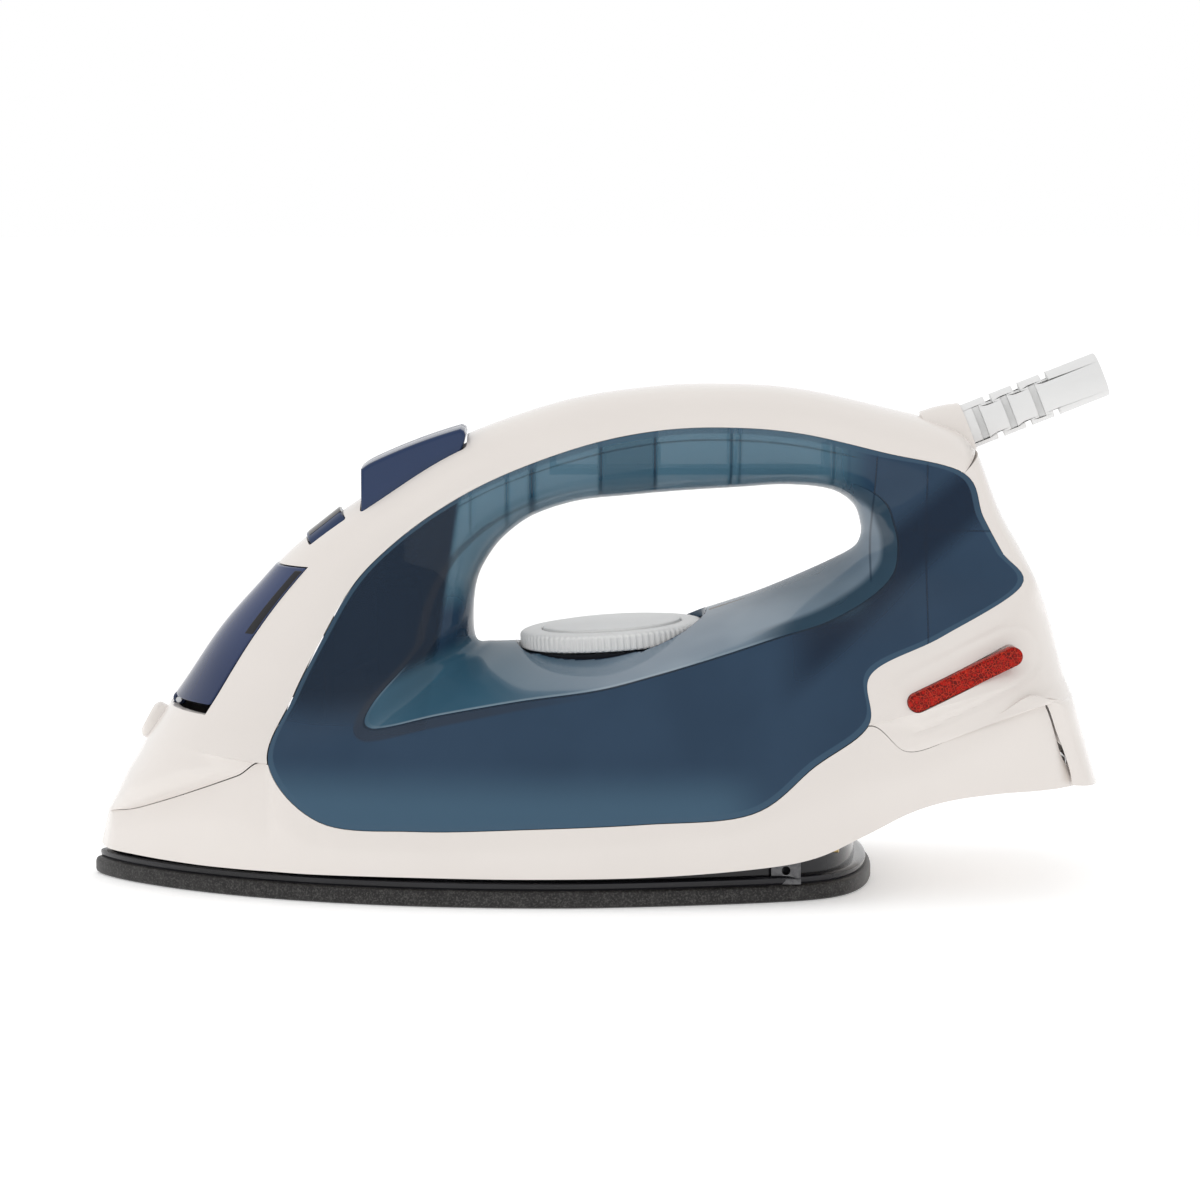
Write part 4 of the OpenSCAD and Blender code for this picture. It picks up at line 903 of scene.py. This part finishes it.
def rear_cover():
    """White rear cover with the soft raised field round each lens."""
    last = len(REAR_ROWS) - 1
    rows = rear_rows(np.arange(last * 8 + 1) / 8)
    t = np.linspace(0, 1, 85)
    a = PI * (0.5 - 0.5 * np.cos(PI * t)) * 0.5 + PI * t * 0.5
    outer, inner = across(rows, a, 0.0, REAR_POWER), across(rows, a, WALL, REAR_POWER)
    d = capsule_distance(outer)
    on_side = np.clip((np.abs(outer[..., 1]) - 30) / 8, 0, 1)
    dish = 0.55 * np.exp(-((d - 7.6) / 0.8) ** 2) * on_side
    outer[..., 1] -= np.sign(outer[..., 1]) * dish
    cover = closed_sheet("rear_shell", outer, inner, False)
    cut(cover,
        *(slab("cutter", stadium(LENS_R + 0.12, LENS_LEN), [(-6, 0), (6, 0)], on_lens(sign))
          for sign in (-1, 1)),
        slab("cutter", circle_outline(SLEEVE_R + 1.1, 64), [(-20, 0), (20, 0)], on_sleeve),
        slab("cutter", circle_outline(SCREW_HOLE_R, 40), [(-1, 0), (5, 0)], on_screw))
    return piece(soften(cover, 0.3), white_gloss, "iron_body", "white_plastic", "rear_cover")


rear_cover()


def lens_bar(side):
    """Red lens: a round-ended bar with rounded face edges."""
    bar = slab("red_lens_left" if side < 0 else "red_lens_right", stadium(LENS_R, LENS_LEN),
               [(-2.6, 0), (0.2, 0), (0.42, 0.1), (0.56, 0.35), (0.6, 0.7)], on_lens(side))
    return piece(bar, red_lens, "iron_body", "red_lens",
                 "lens_left" if side < 0 else "lens_right")


lens_bar(-1)
lens_bar(1)


# ------------------------------------------------------------------ dial

def dial_pieces():
    """Knurled dial, raised disc and the black dish that it stands in."""
    def knurl(a):
        return np.clip(np.cos(a * KNURLS) * 1.6, -1, 1)

    r, h, low = DIAL_R - 0.25, DIAL_RIM, DIAL_LOW
    profile = [(0, low, 0), (5, low, 0), (5, 0.02, 0), (r - 1.2, 0, 0), (r - 0.5, 0.15, 0.05),
               (r - 0.2, 0.5, 0.2), (r - 0.2, 0.9, 0.2), (r - 0.2, h - 1.3, 0.2),
               (r - 0.35, h - 0.8, 0.15), (r - 0.8, h - 0.35, 0.05), (r - 1.6, h - 0.08, 0),
               (r - 3, h, 0), (20.2, h, 0), (19.9, h - 0.05, 0), (19.65, h - 0.3, 0),
               (19.6, h - 0.8, 0), (0, h - 0.8, 0)]
    dial = turned_solid("dial_knob", profile, KNURLS * 8, on_dial, knurl)
    piece(dial, dial_satin, "dial_group", "dial_plastic", "dial")
    top = h + 0.7
    disc = turned_solid("dial_disc", [
        (0, h - 0.8, 0), (19.2, h - 0.8, 0), (19.25, h, 0), (19.1, top - 0.25, 0),
        (18.7, top - 0.04, 0), (17.5, top, 0), (0, top, 0)], 120, on_dial)
    piece(disc, dial_satin, "dial_group", "dial_plastic", "dial_cap")
    seat = DIAL_R - 1.2
    dish = turned_solid("dial_dish", [
        (5.6, low, 0), (11, low, 0), (11, -7.5, 0), (seat - 3.4, -7.5, 0), (seat - 1.4, -4.2, 0),
        (seat - 0.35, -1.4, 0), (seat - 0.1, -0.5, 0), (seat - 0.5, -0.3, 0),
        (seat - 2.6, -0.5, 0), (seat - 5, -4.4, 0), (5.6, -4.4, 0)], 120, on_dial)
    piece(dish, black_gloss, "iron_body", "black_plastic", "dial_seat")


dial_pieces()


# ------------------------------------------------------------------ buttons, slider, nozzle, door

def button(side):
    """Half of the button pair: the side outline carried across, crowned, with rounded edges."""
    top = rows_at(np.array([[-66.2, 114.6], [-63.6, 116.4], [-57, 119.4], [-50, 122.2],
                            [-43, 124.6], [-38.6, 125.9]]), np.linspace(0, 5, 21))
    rest = np.array([[-37.5, 125.3], [-37.2, 124.3], [-37.4, 122.8], [-38, 121], [-38.9, 117.5],
                     [-39.5, 114], [-45, 106], [-53, 98], [-58, 94], [-60, 93], [-65.4, 93],
                     [-66.2, 93.8]])
    outline = np.concatenate([top, rest])
    levels = [(h, d * 0.3 if h < 1.2 else d) for h, d in rounded_levels(0.15, BUTTON_W, 0.9, 4)]

    def to_y(g):
        crown = 0.5 * np.clip((g[..., 1] - 110) / 5, 0, 1) * (1 - (g[..., 2] / BUTTON_W) ** 2)
        return np.stack([g[..., 0], side * g[..., 2], g[..., 1] + crown], -1)

    key = slab("spray_key" if side > 0 else "burst_key", outline, levels, to_y)
    body, node = ("spray_pump", "spray_button") if side > 0 else ("burst_pump", "burst_button")
    return piece(key, navy_gloss, body, "navy_plastic", node)


button(1)
button(-1)


def slider():
    """Steam slider: a thumb piece whose side outline climbs away from the near edge of its slot,
    with a black cap along its top, on a wider foot."""
    start = 2 * GAP - SLOT_HALF
    top = rows_at(np.array([[0, -2.2], [2.4, 0.2], [6, 1.5], [9.6, 1.9], [12.8, 1.5]]),
                  np.linspace(0, 4, 25))
    levels = rounded_levels(-SLIDER_HALF, SLIDER_HALF, 0.6)

    def frame_at(g):
        return on_slider(np.stack([g[..., 2], g[..., 0] + start, g[..., 1]], -1))

    side = np.concatenate([top[::-1], [[0, -6], [12.8, -6]]])
    thumb = slab("steam_slide_key", side, levels, frame_at)
    foot = slab("foot", box_outline(start + 0.9, start + 11.9, -6.6, -5.2, 0.2, 2),
                [(-SLIDER_HALF - 1.2, 0), (SLIDER_HALF + 1.2, 0)],
                lambda g: on_slider(np.stack([g[..., 2], g[..., 0], g[..., 1]], -1)))
    join([thumb, foot])
    piece(thumb, navy_gloss, "steam_selector", "navy_plastic", "steam_slider")
    band = np.concatenate([top[9:-1] + [0, 0.1], (top[9:-1] - [0, 0.7])[::-1]])
    cap = slab("slide_cap", band, rounded_levels(-SLIDER_HALF + 0.9, SLIDER_HALF + 0.05, 0.2),
               frame_at)
    piece(cap, black_gloss, "steam_selector", "black_plastic")


slider()


def nozzle():
    """White spray nozzle: a turned cap with a fine hole."""
    cap = turned_solid("spray_tip", [
        (1.5, -10, 0), (NOZZLE_R, -10, 0), (NOZZLE_R, 1.3, 0), (5.3, 1.8, 0), (4.6, 2.4, 0),
        (4, 2.75, 0), (2.2, 2.8, 0), (1.5, 2.3, 0), (0.5, 2.1, 0), (0.45, 1, 0), (1.5, 0.9, 0)],
        64, on_nozzle)
    return piece(cap, white_gloss, "iron_body", "white_plastic", "spray_nozzle")


nozzle()


def fill_door():
    """Curved translucent door with its hinge knuckle, and the black grips let into its sides."""
    trim, half = 0.8, KNUCKLE_HALF
    a0, a1 = DOOR_A + trim, 180 - DOOR_A - trim
    door = cover_sheet("fill_flap", (DOOR_S0 + 0.16, DOOR_S1 - 0.03), (a0, a1), 41, 31,
                       (-DOOR_PROUD, DOOR_T - DOOR_PROUD))
    knuckle = turned_solid("knuckle", [(PIN_BORE_R, -half, 0), (KNUCKLE_R, -half, 0),
                                       (KNUCKLE_R, half, 0), (PIN_BORE_R, half, 0)], 40, on_hinge)
    cut(door, slab("cutter", circle_outline(PIN_BORE_R, 32), [(-15, 0), (15, 0)], on_hinge))
    soften(door, 0.35)
    join([door, knuckle])
    piece(door, door_slate, "filler_flap", "slate_clear_plastic", "fill_door")
    for side, low, high in (("left", a0 + 0.4, a0 + 7), ("right", a1 - 7, a1 - 0.4)):
        grip = cover_sheet("flap_grip_" + side, (7.05, 8.45), (low, high), 25, 7, (-0.55, 0.2))
        piece(soften(grip, 0.2), black_gloss, "filler_flap", "black_plastic")


fill_door()


# ------------------------------------------------------------------ cord entry

def cord_entry():
    """Slotted white sleeve and the collar that holds it."""
    low, end, r = SLEEVE_LOW, SLEEVE_LEN, SLEEVE_R
    sleeve = turned_solid("flex_sleeve", [
        (CORD_R, low, 0), (FLANGE_R, low, 0), (FLANGE_R, low + 2.5, 0), (r, low + 2.5, 0),
        (r, end - 0.5, 0), (r - 0.15, end - 0.15, 0), (r - 0.5, end, 0), (CORD_R + 0.4, end, 0),
        (CORD_R, end - 0.4, 0)], 72, on_sleeve)
    slots = []
    for i, turn, y0 in [(i, turn, y0) for i in range(SLOTS) for turn in (0, 1) for y0 in (-10, 4)]:
        z = 2.6 + SLOT_PITCH * (i + turn / 2)
        outline = box_outline(-5, 5, y0, y0 + 6, 0.4, 2)
        if turn:
            outline = outline[:, ::-1] * [-1, 1]
        slots.append(slab("slot", outline, [(z, 0), (z + SLOT_WIDTH, 0)], on_sleeve))
    cut(sleeve, *slots)
    piece(soften(sleeve, 0.2), sleeve_soft, "cord_guard", "white_sleeve", "cord_sleeve")
    r += 0.1
    ring = turned_solid("sleeve_ring", [
        (r, -12, 0), (r + 2.4, -11, 0), (r + 2.2, -7, 0), (r + 1.6, -3.5, 0), (r + 1, -1.4, 0),
        (r + 0.8, -0.5, 0), (r + 0.5, 0, 0), (r, 0, 0)], 72, on_sleeve)
    piece(ring, white_gloss, "iron_body", "white_plastic", "sleeve_collar")


cord_entry()


# ------------------------------------------------------------------ CAD nodes that keep their shape

KEPT = (
    (aluminium, "sole_casting"),
    (steel, "heating_element chamber_cover thermal_fuse thermostat_spindle door_pin rear_screw "
            "spray_piston burst_piston spray_spring burst_spring sole_screw_front sole_screw_left "
            "sole_screw_right"),
    (dark_steel, "sole_clip_left sole_clip_right"),
    (brass, "terminal_left terminal_right drip_seat thermostat_blade steam_rod"),
    (ceramic, "thermostat_body terminal_block"),
    (clear_blue, "tank_well tank_floor fill_funnel"),
    (rubber_matt, "tank_seal door_seal heel_foot_left heel_foot_right"),
    (white_gloss, "heel_floor sleeve_nut"),
    (lamp, "pilot_lamp"),
    (navy_gloss, "pump_bracket"),
    (milky, "spray_cylinder burst_cylinder spray_tube burst_tube"),
    (inner_blue, "handle_frame"),
    (black_matt, "cord_clamp"),
    (leads, "internal_leads"))
for finish, names in KEPT:
    for node_name in names.split():
        for kept_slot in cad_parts[node_name].material_slots:
            kept_slot.material = finish.material

for pump in ("spray", "burst"):
    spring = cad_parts[pump + "_spring"]
    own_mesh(spring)
